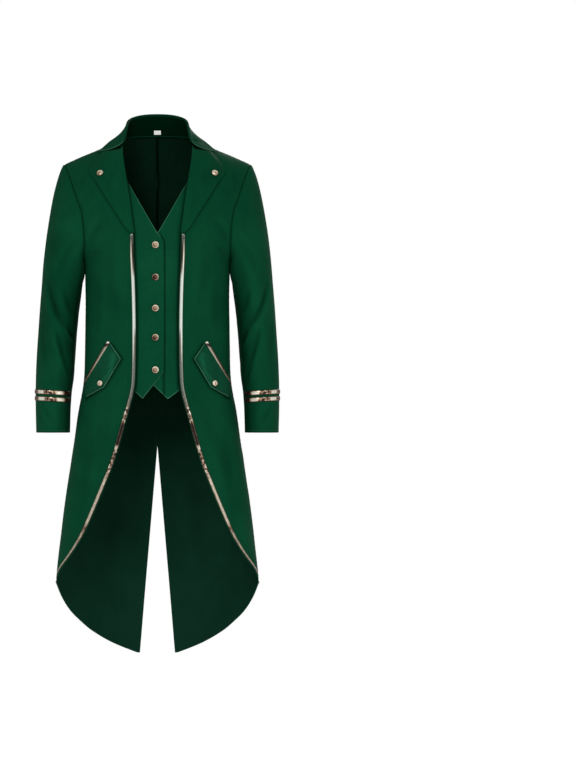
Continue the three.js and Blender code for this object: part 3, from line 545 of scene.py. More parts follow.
def foil_material(name, look, warm, round_from=None):
    """A pressed metallic foil with painted reflections: light and dark blotches and painted highlights along
    its band, and painted shade on its inner side, its middle line and its edges.

    The map's U is the share of the way across, from the inner side. The look goes by height, or
    by the distance along the band from round_from where that is given.
    """
    material, tree, shader = new_material(name, Roughness=0.32, Metallic=0.5)
    place = node(tree, "TexCoord")
    uv = place.outputs["UV"]
    share, along, _ = node(tree, "SeparateXYZ", {"Vector": uv}).outputs
    if round_from is None:
        where = node(tree, "SeparateXYZ", {"Vector": place.outputs["Object"]}).outputs["Z"]
    else:
        where = sums(tree, "ABSOLUTE", sums(tree, "SUBTRACT", along, round_from * MM))
    first, last = look[0][0], look[-1][0]
    ends = {"Value": where, "From Min": first * MM, "From Max": last * MM}
    run = node(tree, "MapRange", ends).outputs[0]

    def by_place(column):
        """One column of the look, packed into the 0 to 1 that a ramp holds."""
        low, high = -0.5, 1.7
        packed = ramp(tree, run, grey(
            ((row[0] - first) / (last - first), (row[column] - low) / (high - low)) for row in look))
        return node(tree, "MapRange", {"Value": packed, "To Min": low, "To Max": high}).outputs[0]

    def shares(stops):
        return ramp(tree, share, grey(stops))

    # painted highlight and reflection by place, and painted shade on the inner side, the middle line and the
    # edges
    level = by_place(1)
    patch = noise(tree, uv, 170.0, 2.5, (BAND_WIDTH * MM, 0.8, 1))
    blotched = sums(tree, "MULTIPLY", by_place(3), 1.7)
    blotch = sums(tree, "MULTIPLY", sums(tree, "SUBTRACT", patch, 0.5), blotched)
    inner = sums(tree, "MULTIPLY", shares([(0.0, 1), (0.42, 1), (0.62, 0)]), by_place(4))
    middle = sums(tree, "MULTIPLY", shares([(0.16, 0), (0.34, 1), (0.66, 1), (0.84, 0)]), by_place(5))
    value = sums(tree, "ADD", level, blotch)
    for part in (inner, middle, shares(FOIL_EDGE_SHADE)):
        value = sums(tree, "SUBTRACT", value, part)
    both = {0: by_place(2), 6: ramp(tree, value, warm), 7: ramp(tree, value, SILVER)}
    tree.links.new(node(tree, "Mix", both, data_type="RGBA").outputs[2], shader.inputs["Base Color"])
    rough = node(tree, "MapRange", {"Value": noise(tree, uv, 260.0, 2.0, (BAND_WIDTH * MM, 1, 1)),
                                    "To Min": 0.26, "To Max": 0.5}).outputs[0]
    tree.links.new(rough, shader.inputs["Roughness"])
    grain = noise(tree, uv, 420.0, 2.0, (BAND_WIDTH * MM, 0.5, 1))
    tree.links.new(bump(tree, grain, 0.3, 0.0004), shader.inputs["Normal"])
    return material


FOIL = {
    "trim_front": foil_material("rose_silver_foil", TRIM_LOOK, ROSE),
    "flap_trim": foil_material("flap_foil", FLAP_LOOK, ROSE),
    "cuff_band_1": foil_material("cuff_foil", CUFF_LOOK, ROSE, 111.0),
    "vent_cap": foil_material("cap_foil", CAP_LOOK, ROSE),
    "trim_vent": foil_material("vent_foil", VENT_LOOK, COPPER),
    "trim_hem": foil_material("copper_foil", HEM_LOOK, COPPER),
}
FOIL["cuff_band_2"] = FOIL["cuff_band_1"]

# How light a button's metal is by its radius, from the middle out, and which metal it is.
# The dark stop at the very rim is painted shade round the button's edge.
BUTTON_LOOKS = {
    "bronze": ([
        (0.0, 0.46), (0.25, 0.4), (0.5, 0.3), (0.62, 0.4), (0.78, 0.72), (0.9, 0.66), (1.0, 0.05)], ROSE),
    "cream": ([
        (0.0, 0.56), (0.25, 0.7), (0.45, 0.88), (0.62, 0.8), (0.8, 0.95), (0.92, 0.8), (1.0, 0.15)], ROSE),
    "copper": ([(0.0, 0.5), (0.3, 0.32), (0.55, 0.24), (0.76, 0.7), (0.9, 0.78), (1.0, 0.1)], COPPER),
}


def button_material(look):
    """Rubbed metal with a painted highlight towards the upper left and painted shade towards the lower
    right.
    The map is the button seen from outside.
    """
    # named for its wear; the colour also holds a painted highlight and painted shade
    material, tree, shader = new_material(f"worn_{look}", Roughness=0.34, Metallic=0.5)
    levels, metal = BUTTON_LOOKS[look]
    place = node(tree, "TexCoord")
    radius = node(tree, "VectorMath", {0: place.outputs["UV"]}, operation="LENGTH").outputs["Value"]
    aside, down, _ = node(tree, "SeparateXYZ", {"Vector": place.outputs["UV"]}).outputs
    worn = sums(tree, "SUBTRACT", noise(tree, place.outputs["Object"], 420.0, 3.0), 0.5)
    each = sums(tree, "SUBTRACT", noise(tree, place.outputs["Object"], 23.0, 0.0), 0.5)
    value = ramp(tree, radius, grey(levels))
    # aside and down paint a highlight on the upper left and shade on the lower right; worn is wear, each is
    # tone
    for part, size in ((aside, 0.2), (down, -0.12), (worn, 0.7), (each, 0.9)):
        value = sums(tree, "ADD", value, sums(tree, "MULTIPLY", part, size))
    tree.links.new(ramp(tree, value, metal), shader.inputs["Base Color"])
    tree.links.new(bump(tree, worn, 0.3, 0.0003), shader.inputs["Normal"])
    return material


def plain_material(name, colour, worn, scale, roughness):
    material, tree, shader = new_material(name, Roughness=roughness)
    place = node(tree, "TexCoord")
    grain = noise(tree, place.outputs["Object"], scale, 2.0)
    tree.links.new(ramp(tree, grain, [(0.3, worn), (0.7, colour)]), shader.inputs["Base Color"])
    tree.links.new(bump(tree, grain, 0.3, 0.0002), shader.inputs["Normal"])
    return material


BUTTON_METAL = {look: button_material(look) for look in BUTTON_LOOKS}
LABEL_CLOTH = plain_material("label_satin", linear(250, 250, 247), linear(236, 237, 232), 1800.0, 0.6)
THREAD = plain_material("green_thread", linear(16, 72, 50), linear(8, 56, 36), 2500.0, 0.7)

# ---------------------------------------------------------------- fronts and backs

NEAR_EDGE = (0.006, 0.016, 0.03, 0.05)   # shares of a panel's width or length, near its edges
PANEL_COLUMNS = spaced(40, NEAR_EDGE)
ROWS_ABOVE = spaced(58, (0.004, 0.01))[:-3]


def shoulder_top(x):
    return np.minimum(0, ridge(x))


def vent_edge(z):
    return SEAM / 2 + np.maximum(0, (VENT_TOP - z) / (VENT_TOP - TIP_Z)) * TIP_X


def side_x(angle, z):
    return body_round("front", angle, z)[0][..., 0]


def panel(centre, levels):
    """Spots of one panel: rows fan out from the shoulder seam, then run level."""
    u = PANEL_COLUMNS[None, :]
    top_x = lerp(centre(0.0), SHOULDER_X, u)
    for _ in range(30):
        z = shoulder_top(top_x)
        angle = lerp(angle_at(centre(z), z), angle_at(SHOULDER_X, np.minimum(z, ARMHOLE_TOP)), u)
        top_x = (top_x + side_x(angle, z)) / 2
    share = ROWS_ABOVE[:, None]
    top_z = np.where(u < 1, shoulder_top(top_x), ARMHOLE_TOP)
    z = lerp(top_z, ARMHOLE_BOTTOM, share)
    side_z = lerp(ARMHOLE_TOP, ARMHOLE_BOTTOM, share)
    angle = lerp(angle_at(centre(z), z), angle_at(armhole(side_z), side_z), u)
    low_z = np.asarray(levels, float)[:, None]
    low_angle = lerp(angle_at(centre(low_z), low_z), math.pi / 2, u)
    return np.concatenate([angle, low_angle]), np.concatenate([z, low_z + 0 * u])


def hem_line(share):
    """Angle and height of the back hem, from the tip by the vent to the side seam."""
    angle = lerp(angle_at(TIP_X, TIP_Z), math.pi / 2, share)
    z = np.full(np.shape(angle), (TIP_Z + SIDE_CORNER) / 2)
    for _ in range(14):
        z = lerp(z, hem(body_round("back", angle, z)[0][..., 0]), 0.7)
    return angle, z


# Creases of the fronts: across and up in millimetres, seen from the front.
FRONT_CREASES = [
    (182, -255, 128, -196, 6, 9, 2), (186, -292, 140, -262, 4, 8, 1.5), (120, -250, 92, -420, -10, 15, 1.5),
    (160, -330, 150, -470, 8, 13, 1.2), (100, -640, 150, -800, -12, 16, 1.1),
    (172, -640, 196, -960, 10, 17, 1.3), (140, -690, 176, -860, -8, 13, 0.8),
    (84, -430, 74, -560, 5, 11, 0.8), (204, -110, 176, -76, 4, 8, 1.1), (150, -120, 196, -150, -5, 12, 1),
]
# Creases of the backs, seen from behind.
BACK_CREASES = [
    (176, -240, 110, -150, 8, 12, 2), (180, -280, 130, -230, 5, 9, 1.4), (170, -330, 96, -400, -8, 12, 1.5),
    (150, -395, 60, -425, 6, 9, 1), (40, -60, 130, -95, -8, 14, 1.1), (24, -130, 60, -300, 8, 18, 1.2),
    (60, -520, 84, -700, -10, 15, 1), (130, -500, 150, -760, 12, 17, 1.2),
    (178, -620, 206, -930, -10, 15, 1.2), (90, -760, 120, -1060, 14, 18, 1.5),
    (160, -800, 186, -1080, -10, 14, 1.1), (30, -500, 22, -680, 4, 10, 0.7),
]


SIDE_DIP, SHOULDER_DIP, CENTRE_DIP = 1.5, 0.7, 0.3   # the centre-back seam hardly shows from outside
FLAT_SIDE_AT, FLAT_SIDE_TALL = -312, 40              # no dip here, so no light shows past the sleeve


def cloth_panel(name, face, angle, z, table, seed, joined, calm, shading):
    """A front or back with its seams, creases and waves, on both sides of the coat.

    joined is how far its inner edge is sewn rather than free, calm is where the cloth lies flat
    under what is sewn on it, and shading gives the painted shade of its two sides. The cloth also
    gets painted shade in its creases, along its seams and near its side below the armhole.
    """
    points, normals = body_round(face, angle, z)
    across, down = lengths(points, 1), lengths(points, 0)
    x = across + points[:, :1, 0]
    inner, outer, low = across, across[:, -1:] - across, down[-1:] - down
    for side, mirror in SIDES:
        bend = creases(x, z, varied(table, seed) if mirror else table)
        bend += unevenness(x, z, 1.7, seed + mirror)
        bend *= rising(inner - 12 * (1 - joined), 24) * rising(outer, 16)
        bend *= np.clip(down / 40 + 0.1, 0, 1) * rising(low - 8, 24)
        bend *= calm(points[..., 0], z)
        # painted shade in creases, along the seams and near the side below the armhole; painted highlight on
        # ridges
        shade = folds_shade(bend) * (1 - 0.4 * near(outer, 2.4)) * (1 - 0.25 * near(down, 2.2))
        shade = shade * (1 - 0.3 * near(outer, 7) * (z < ARMHOLE_BOTTOM))
        faces = [shade * part for part in shading(points[..., 0], z)]
        bend += sewn(outer, down, SIDE_DIP * (1 - near(z - FLAT_SIDE_AT, FLAT_SIDE_TALL)))
        bend += sewn(inner, down, CENTRE_DIP) * joined + sewn(down, across, SHOULDER_DIP)
        under = {}
        if face == "back":
            side_share = (z[:, -1] < ARMHOLE_BOTTOM) * rising(z[:, -1] - SIDE_CORNER - 6, 30)
            under = {"right": side_share, "left": joined[:, 0] * (not mirror)}
            under["top"] = np.ones(z.shape[1] + 2 * len(under))
        at, out, lift, shades = with_allowance(points, normals, bend - CLOTH, faces, under)
        yield shell(
            f"{name}_{side}", at, out, (CLOTH_OUT, SHADED_CLOTH_INSIDE), lift, CLOTH, mirror, shade=shades)


def varied(table, seed, size=1.0):
    """The same creases a little longer, deeper and elsewhere, for the other side of the coat."""
    rng = np.random.default_rng(seed)
    spread = np.array([7, 10, 7, 14, 3, 1.2, 0.25]) * size
    return [tuple(np.array(row) + rng.normal(0, 1, 7) * spread) for row in table]


def spot_calm(x, z, x0, z0, wide, tall):
    """1 away from a spot, falling to 0 on it."""
    return np.clip(((x - x0) / wide) ** 4 + ((z - z0) / tall) ** 4, 0, 1)


front_levels = [*np.linspace(-304, -1020, 150), *np.linspace(-1024, FRONT_END, 9)]
front_angle, front_z = panel(front_edge, front_levels)

FAN_START = -1010.0                  # below this the rows of a back fan out to its hem
back_angle, back_z = panel(vent_edge, np.linspace(-304, FAN_START, 148))
low_angle, low_z = hem_line(PANEL_COLUMNS[None, :])
fan = np.concatenate([np.linspace(0, 0.97, 40)[1:], [0.985, 0.994, 1]])[:, None]
back_angle = np.concatenate([back_angle, lerp(back_angle[-1:], low_angle, fan)])
back_z = np.concatenate([back_z, lerp(FAN_START, low_z, fan)])

# ---------------------------------------------------------------- sleeves

sleeve_inner, sleeve_outer, sleeve_middle, sleeve_depth = (curve(SLEEVE, column=c) for c in (1, 2, 3, 4))
HEAD_START, HEAD_END = np.array([70.0, 0, -90]), np.array([20.0, 0, -300])
SLEEVE_HANG, HEAD_FULLNESS = 280.0, 22.0


def turn_of(column):
    return column / SLEEVE_STEPS * 2 * math.pi


def sleeve_ring(column, z):
    """A point of the sleeve's section. Column 0 is the outer side, a quarter is the front."""
    turn, inner, outer = turn_of(column), sleeve_inner(z), sleeve_outer(z)
    x = (inner + outer) / 2 + (outer - inner) / 2 * np.cos(turn)
    y = sleeve_middle(z) - sleeve_depth(z) * np.sin(turn)
    return np.stack([x, y, z + 0 * x], axis=-1)


def armhole_point(column):
    z = lerp(ARMHOLE_BOTTOM, ARMHOLE_TOP, (1 + np.cos(turn_of(column))) / 2)
    round_trip = np.mod(column, SLEEVE_STEPS)
    front, back = (body_at(face, armhole(z), z)[0] for face in ("front", "back"))
    point = np.where((round_trip <= SLEEVE_STEPS / 2)[..., None], front, back)
    ends = np.abs(np.sin(turn_of(column))) < 1e-6
    point[..., 1] = np.where(ends, body_side(z), point[..., 1])
    return point


def sleeve_head(column, t):
    """The smooth sweep of the sleeve head from the armhole to the upper arm."""
    column, t = np.broadcast_arrays(column, t)
    start = armhole_point(column) + [SEAM + 0.2, 0, 0]
    end = sleeve_ring(column, np.full(column.shape, SLEEVE_TOP))
    size = np.linalg.norm(end - start, axis=-1, keepdims=True) / SLEEVE_HANG
    leave, arrive = HEAD_START * size, HEAD_END * size
    leave[..., 1] -= HEAD_FULLNESS * np.sin(turn_of(column)) * size[..., 0]
    t = t[..., None]
    rise = t * t * (3 - 2 * t)
    return lerp(start, end, rise) + leave * t * (1 - t) ** 2 - arrive * t * t * (1 - t)


HEAD_SHARES = np.concatenate([[0, 0.004, 0.01, 0.02, 0.035], np.linspace(0.055, 0.98, 50)])[:, None]
ARM_LEVELS = np.concatenate([
    np.linspace(SLEEVE_TOP, CUFF_END + 4, 76), [CUFF_END + 2, CUFF_END + 0.8, CUFF_END]])

# Creases of the sleeves: distance round from the outer side, towards the front, and height.
SLEEVE_CREASES = [
    (44, -343, 131, -457, 13.6, 8, 5.4), (84, -454, 139, -553, 4, 8, 4), (124, -450, 168, -500, 4, 7, 4.4),
    (108, -362, 150, -420, 8, 8, 2.2), (40, -436, 66, -540, 6, 10, 1.6), (118, -540, 150, -592, -3, 7, 2.2),
    (60, -640, 112, -688, 5, 7, 1.8), (120, -236, 84, -330, 6, 12, 1.5), (96, -120, 70, -200, 5, 12, 1),
    (-58, -343, -139, -450, -7, 8, 3.8), (-84, -440, -140, -520, -4, 8, 2.8),
    (-46, -250, -84, -330, 5, 11, 1.5), (-60, -560, -110, -592, -4, 8, 1.6),
    (168, -390, 200, -440, 4, 8, 2.4), (170, -520, 204, -560, -4, 8, 2),
    (-160, -400, -190, -470, 4, 8, 2.2),
]


ALLOWANCE_ROWS, SEAM_DIP, SLEEVE_ROUND = 2, 1.5, 62.0
# painted shade on the sleeve where it faces the body
UNDERARM_PAINTED_SHADE = 0.52                  # how much darker the sleeve is where it faces the body
BODY_TOUCH, OPENS_FROM = 0.2, -348    # how far it is let into the body's side, down to this height


def sleeve_sheet(first, last, count):
    """Spots of one sleeve piece, with the distance round the arm from the outer side.

    Its first rows are the seam allowance, which lies under the front and back at the armhole.
    """
    columns = lerp(first, last, spaced(count, NEAR_EDGE))
    ring = columns[None, :]
    points = np.concatenate([sleeve_head(ring, HEAD_SHARES), sleeve_ring(ring, ARM_LEVELS[:, None])])
    turn = turn_of(ring)
    normals = grid_normals(points, np.stack([np.cos(turn), -np.sin(turn), 0 * turn], axis=-1))
    z = lerp(ARMHOLE_BOTTOM, ARMHOLE_TOP, (1 + np.cos(turn_of(columns))) / 2)
    ahead = (np.mod(columns, SLEEVE_STEPS) <= SLEEVE_STEPS / 2)[:, None]
    strip = []
    for inward, deep in ((4.0, 4.2), (1.5, 3.6), (0.0, SEAM_DIP)):
        (front, front_out), (back, back_out) = (
            body_at(face, armhole(z) - inward, z) for face in ("front", "back"))
        out = np.where(ahead, front_out, back_out)
        spot = np.where(ahead, front, back)
        strip.append((spot - out * deep, out))
    strip[-1] = (strip[-1][0] + [0.3, 0, 0], unit(strip[-1][1] + normals[0]))
    points = np.concatenate([np.stack([spot for spot, _ in strip]), points[1:]])
    normals = np.concatenate([np.stack([out for _, out in strip]), normals[1:]])
    return points, normals, turn * SLEEVE_ROUND


def sleeve_piece(name, first, last, count, seed):
    points, normals, around = sleeve_sheet(first, last, count)
    across, down = lengths(points, 1), lengths(points, 0)
    down = np.maximum(down - down[ALLOWANCE_ROWS], 0)
    left, right = across, across[:, -1:] - across
    z, turn = points[..., 2], around / SLEEVE_ROUND
    inside = rising(-np.cos(turn) - 0.1, 0.75)
    clear = np.clip(points[..., 0] - body_half(z) + BODY_TOUCH, 0, 6)
    clear = clear / np.clip(-normals[..., 0], 0.5, 1)     # along a normal that isn't level
    for side, mirror in SIDES:
        table = varied(SLEEVE_CREASES, seed, 0.5) if mirror else SLEEVE_CREASES
        wrap = 2 * math.pi * SLEEVE_ROUND
        bend = sum(creases(around + shift, z, table) for shift in (0, wrap, -wrap))
        bend += unevenness(around, z, 1.4, seed + 5 + mirror)
        bend *= rising(down, 45) * rising(z - CUFF_END - 9, 30)
        bend *= rising(np.abs(z - sum(CUFF_BANDS) / 2) - 16, 10)
        bend *= lerp(0.3, 1, np.clip(1.5 * np.abs(np.sin(turn)), 0, 1))
        # painted shade in creases, along the seams, where the sleeve faces the body and at the cuff's edge;
        # the inside darker still
        shade = folds_shade(bend, 0.11) * (1 - 0.4 * near(down, 2.6)) * (1 - 0.3 * near(left, 1.8))
        shade *= (1 - 0.3 * near(right, 1.8)) * (1 - UNDERARM_PAINTED_SHADE * inside * rising(-z - 315, 90))
        shade = np.broadcast_to(shade * (1 - 0.35 * near(z - CUFF_END, 1.5)), z.shape)
        bend += clear * rising(z - OPENS_FROM, 24) * np.clip(-np.cos(turn), 0, 1) ** 6
        bend += sewn(left, down) + sewn(right, down)
        bend -= SEAM_DIP * near(down, 2.4) * (1 - 0.9 * np.clip(-np.cos(turn), 0, 1) ** 4)
        bend += 0.35 * np.sin(across * 2 * math.pi / 15) * near(down, 14)
        bend[:ALLOWANCE_ROWS + 1] = 0
        under = {"left": np.ones(len(z)), "right": np.ones(len(z))} if name == "under_sleeve" else {}
        at, out, lift, shades = with_allowance(points, normals, bend - CLOTH, [shade, shade * 0.7], under)
        yield shell(
            f"{name}_{side}", at, out, (CLOTH_OUT, SHADED_CLOTH_INSIDE), lift, CLOTH, mirror, shade=shades)


def sleeve_spot(column, z):
    """A spot on the lower sleeve, for what is sewn there."""
    across = sleeve_ring(column + 0.1, z) - sleeve_ring(column - 0.1, z)
    down = sleeve_ring(column, z - 1) - sleeve_ring(column, z + 1)
    return sleeve_ring(column, z), unit(np.cross(across, down))


# ---------------------------------------------------------------- lapels

# height and distance from the middle of the roll line, distance and height of the outer edge
LAPEL = [
    (-30, 85.5, 130, -40), (-42, 85.3, 147, -61), (-68, 82, 163, -83), (-94, 77.5, 144, -110),
    (-120, 73.5, 127.5, -136), (-150, 69, 108.5, -166), (-180, 65, 89.5, -196), (-210, 61, 75, -219),
    (-229, 58.5, 62, -230.5),
]
LAPEL_ROLL, FOLD_RADIUS, TUCK = 3.0, 2.6, 7.0


def lapel_edge(z):
    """How far from the middle the lapel reaches at a height, 0 below it."""
    rows = sorted((row[3], row[2]) for row in LAPEL)
    return np.interp(z, [r[0] for r in rows], [r[1] for r in rows], left=0)


def lapel_sheet():
    """Middle surface of a lapel: tucked behind the front, round the roll and out to its edge."""
    table = np.array(LAPEL, float)
    place = np.arange(len(table))
    v = spaced(90, (0.004, 0.012)) * (len(table) - 1)
    roll_z, roll_x = (curve(list(zip(place, table[:, c])))(v) for c in (0, 1))
    edge_x, edge_z = (np.where(
        v < 2, np.interp(v, place, table[:, c]), curve(list(zip(place, table[:, c])))(v)) for c in (2, 3))
    tuck = np.linspace(-TUCK, 0, 5)[:-1]
    turn = np.linspace(0, math.pi, 9)
    u = spaced(34, (0.012, 0.03))[1:]
    width = np.hypot(edge_x - roll_x, edge_z - roll_z)[:, None]
    fade = rising(len(table) - 1 - v, 3)[:, None]
    top = REST + CLOTH / 2 + 0.4 + 0.8 * fade
    under = top - 2 * FOLD_RADIUS
    out = np.concatenate([
        -tuck[None, :] + 0 * width, -FOLD_RADIUS * np.sin(turn)[None, :] + 0 * width,
        u[None, :] * width], axis=1)
    rise = np.concatenate([
        under + 0 * tuck[None, :], (top + under) / 2 - FOLD_RADIUS * np.cos(turn)[None, :],
        lerp(top, REST + CLOTH / 2, u[None, :])
        + LAPEL_ROLL * np.sin(u[None, :] * 0.8 * math.pi) * fade], axis=1)
    share = np.where(out > 0, out, 0) / np.maximum(width, 1e-6)
    share[:, :len(tuck)] = 0
    x = lerp(roll_x[:, None], edge_x[:, None], share)
    z = lerp(roll_z[:, None], edge_z[:, None], share)
    aside = np.where(np.arange(out.shape[1]) < len(tuck) + len(turn), out, 0)
    points, normals = body_at("front", x + aside, z)
    return points, normals, rise, share, v


# The top edge of a lapel as it shows below the collar: distance from the middle, height.
NOTCH = [(70, -14), (79, -15), (88, -31), (113, -35), (136, -36.5)]


def collar_wedge_shade(x, z):
    """Painted shade: nearly dark in the wedge between the collar and the top edge of a lapel, elsewhere 1.
    """
    notch_x, notch_z = np.array(NOTCH).T
    above = np.clip((z - np.interp(x, notch_x, notch_z)) / 2 + 0.5, 0, 1)
    return 1 - 0.9 * above * rising(136 - x, 6)


LAPEL_CREASES = [(92, -60, 120, -150, -6, 9, 0.7), (100, -120, 78, -190, 4, 8, 0.6)]


def make_lapels():
    points, normals, rise, share, v = lapel_sheet()
    for side, mirror in SIDES:
        wave = unevenness(points[..., 0], points[..., 2], 0.9, 40 + mirror) * np.sin(share * math.pi)
        wave += creases(points[..., 0], points[..., 2], LAPEL_CREASES) * np.sin(share * math.pi)
        middle = points + normals * (rise + wave)[..., None]
        out = grid_normals(middle, normals * np.where(share > 0, 1, 0)[..., None])
        # painted shade in the folds and under the collar; the other side is darker, painted shade too
        shade = folds_shade(wave, 0.12) * collar_wedge_shade(middle[..., 0], middle[..., 2])
        soft = near(share - 1, 0.12) * rising(3.4 - v[:, None], 1.2)
        yield shell(
            f"lapel_{side}", middle, out, (CLOTH_OUT, SHADED_CLOTH_INSIDE), -CLOTH / 2 - 0.4 * soft,
            CLOTH - 1.3 * soft, mirror, 0.5, (shade, 0.6))


# ---------------------------------------------------------------- collar

# neck seam across and height, fold x y z, free edge x y z; the first five are on the back
COLLAR = [
    (0, 0, 0, 5, 55, 0, 20, 3), (22, 0, 22, 3.5, 54.3, 26, 18.5, 3), (44, 0, 43, -4, 51.5, 52, 12, 3),
    (63, 0, 60, -20, 46, 75, -5, 3.5), (75, 0, 69, -44, 38.5, 92, -36, -1.5),
    (79.5, -2, 72.5, -68, 26, 106, -62, -8), (81.5, -12, 75, -88, 9, 121, -80, -20),
    (83.5, -22, 79, -104, -8, 138, -92, -35),
]
BACK_STATIONS, LEAF_BULGE, LEAF_SAG, LEAF_CLEAR, COLLAR_FOLD = 5, 5.0, 3.0, 4.0, 2.0
LEAF_FLARE = 1.5                      # over 1 keeps the fall close to the neck before it spreads


def collar_line(stations, values):
    """A smooth line through three columns of stations, and through its mirror image at the back."""
    ahead = [(k, *row) for k, row in enumerate(values)]
    behind = [(-1, -values[1][0], values[1][1], values[1][2])]
    return np.stack([curve(behind + ahead, column=c)(stations) for c in (1, 2, 3)], axis=-1)


def collar_profile():
    """Middle surface of the collar, from the neck seam up the stand, over the fold and down."""
    table = np.array(COLLAR, float)
    stations = spaced(64, (0.003, 0.008))[2:] * (len(table) - 1)
    stations[0] = 0
    feet = []
    for k, (neck_x, neck_z) in enumerate(table[:, :2]):
        behind = k < BACK_STATIONS
        point = body_at("back" if behind else "front", neck_x, neck_z)[0]
        feet.append(point + ([0, 0, 0] if behind else [-0.8, 0, 0.6]))
    foot = collar_line(stations, feet) + near(stations - 4.2, 1.1)[:, None] * [0.8, 0, -3.8]
    fold, edge = collar_line(stations, table[:, 2:5]), collar_line(stations, table[:, 5:8])
    run = np.gradient(fold, axis=0)
    run[0] = [1, 0, 0]
    away = unit(np.stack([-run[:, 1], run[:, 0], 0 * run[:, 0]], axis=-1))
    up = np.array([0, 0, 1.0])
    centre = fold + away * 1.0 - up * (COLLAR_FOLD + CLOTH / 2)
    front = np.clip(stations - 6, 0, 1)[:, None] ** 2
    aside = rising(stations - 2, 2)
    rows = []
    for t in spaced(16, (0.02, 0.05))[:-1]:
        rise = lerp(foot - away * 0.6, centre - away * COLLAR_FOLD, t)
        rows.append(rise - away * 1.6 * math.sin(t * math.pi))
    for turn in np.linspace(0, math.pi, 9):
        rows.append(centre - away * COLLAR_FOLD * math.cos(turn) + up * COLLAR_FOLD * math.sin(turn))
    for t in spaced(26, (0.015, 0.04))[1:]:
        arch = math.sin(t * math.pi)
        level = t ** lerp(1, LEAF_FLARE, aside)
        spread = np.stack([level, level, t + 0 * aside], axis=-1)
        row = lerp(centre + away * COLLAR_FOLD, edge + away * 1.4, spread)
        row = row + away * 0.6 * LEAF_BULGE * arch * (1 - aside)[:, None]
        row = row + up * arch * lerp(LEAF_BULGE * (1 - aside)[:, None], -LEAF_SAG, front)
        for face, sign in (("front", -1), ("back", 1)):
            body_y = body_at(face, row[:, 0], row[:, 2])[0][:, 1] + sign * (LEAF_CLEAR + 3 * arch)
            below = row[:, 2] < ridge(row[:, 0]) - 1
            this = (row[:, 1] - body_side(row[:, 2])) * sign > 0
            over = np.where(sign > 0, body_y - row[:, 1], row[:, 1] - body_y)
            row[:, 1] += np.where(below & this & (over > 0), sign * over, 0)
        rows.append(row)
    return np.array(rows), away


STAND_ROWS, FOLD_ROWS = 18, 26        # rows of the profile up to the fold, and past it
LABEL_WIDE, LABEL_LOW, LABEL_HIGH = 16.0, 5.5, 15.0


def label_rim(points):
    """Distance from the outline of the label, over spots of the collar."""
    x = np.abs(points[..., 0]) - LABEL_WIDE / 2
    z = np.abs(points[..., 2] - (LABEL_LOW + LABEL_HIGH) / 2)
    beyond = np.maximum(x, z - (LABEL_HIGH - LABEL_LOW) / 2)
    return np.where(beyond > 0, beyond, 9)


def make_collar():
    half, away = collar_profile()
    middle = np.concatenate([half[:, :0:-1] * FLIP, half], axis=1)
    facing = np.concatenate([away[:0:-1] * FLIP, away])
    rows = len(middle)
    out = np.where(np.arange(rows)[:, None, None] < 20, -1, 1) * facing[None]
    lift = unevenness(lengths(middle, 1), lengths(middle, 0) * 2, 1.0, 50)
    lift *= rising(np.arange(rows)[:, None] - FOLD_ROWS, 6)
    normals = grid_normals(middle, out)
    row = np.arange(rows)[:, None] + 0 * middle[..., 0]
    # painted shade: the stand's inner face and the leaf's underside nearly dark, the leaf darker near its
    # fold, and a painted shadow round the label; the leaf's rim gets the painted highlight
    shade = np.where(row < STAND_ROWS, 0.16, lerp(0.5, 0.9, rising(row - STAND_ROWS - 2, 7)))
    shade *= 1 - 0.6 * near(label_rim(middle), 1.4) * (row < STAND_ROWS)
    return shell("collar", middle, normals, (CLOTH_OUT, SHADED_CLOTH_INSIDE, HIGHLIGHT_CLOTH_RIM), lift - CLOTH / 2, CLOTH,
                 False, 0.5, (shade, 0.15), row > FOLD_ROWS)


# ---------------------------------------------------------------- mock waistcoat

VEST_TOP, OVERLAP_FROM, VEST_FLARE, VEST_SEWN = -42.0, -226, -555.0, 4.2
VEST_NECK = [
    (-42, 92), (-81, 84), (-100, 75), (-165, 38.5), (-228, 2), (-242, -9), (-256, -14.5), (-600, -14.5),
]
VEST_SIDE = [(-42, 118), (-165, 112), (-600, 105)]
VEST_HEM = {
    "right": [(105, -577), (81, -590), (57, -605), (36, -624), (10, -592), (-14.5, -561)],
    "left": [(105, -577), (81, -589), (57, -602), (25, -625), (4, -605), (-14.5, -587)],
}
VEST_INSET = {"right": 7.5, "left": 10.5}
VEST_BUTTONS, VEST_BUTTON_X = (-259, -336, -410, -479, -556), 5.0


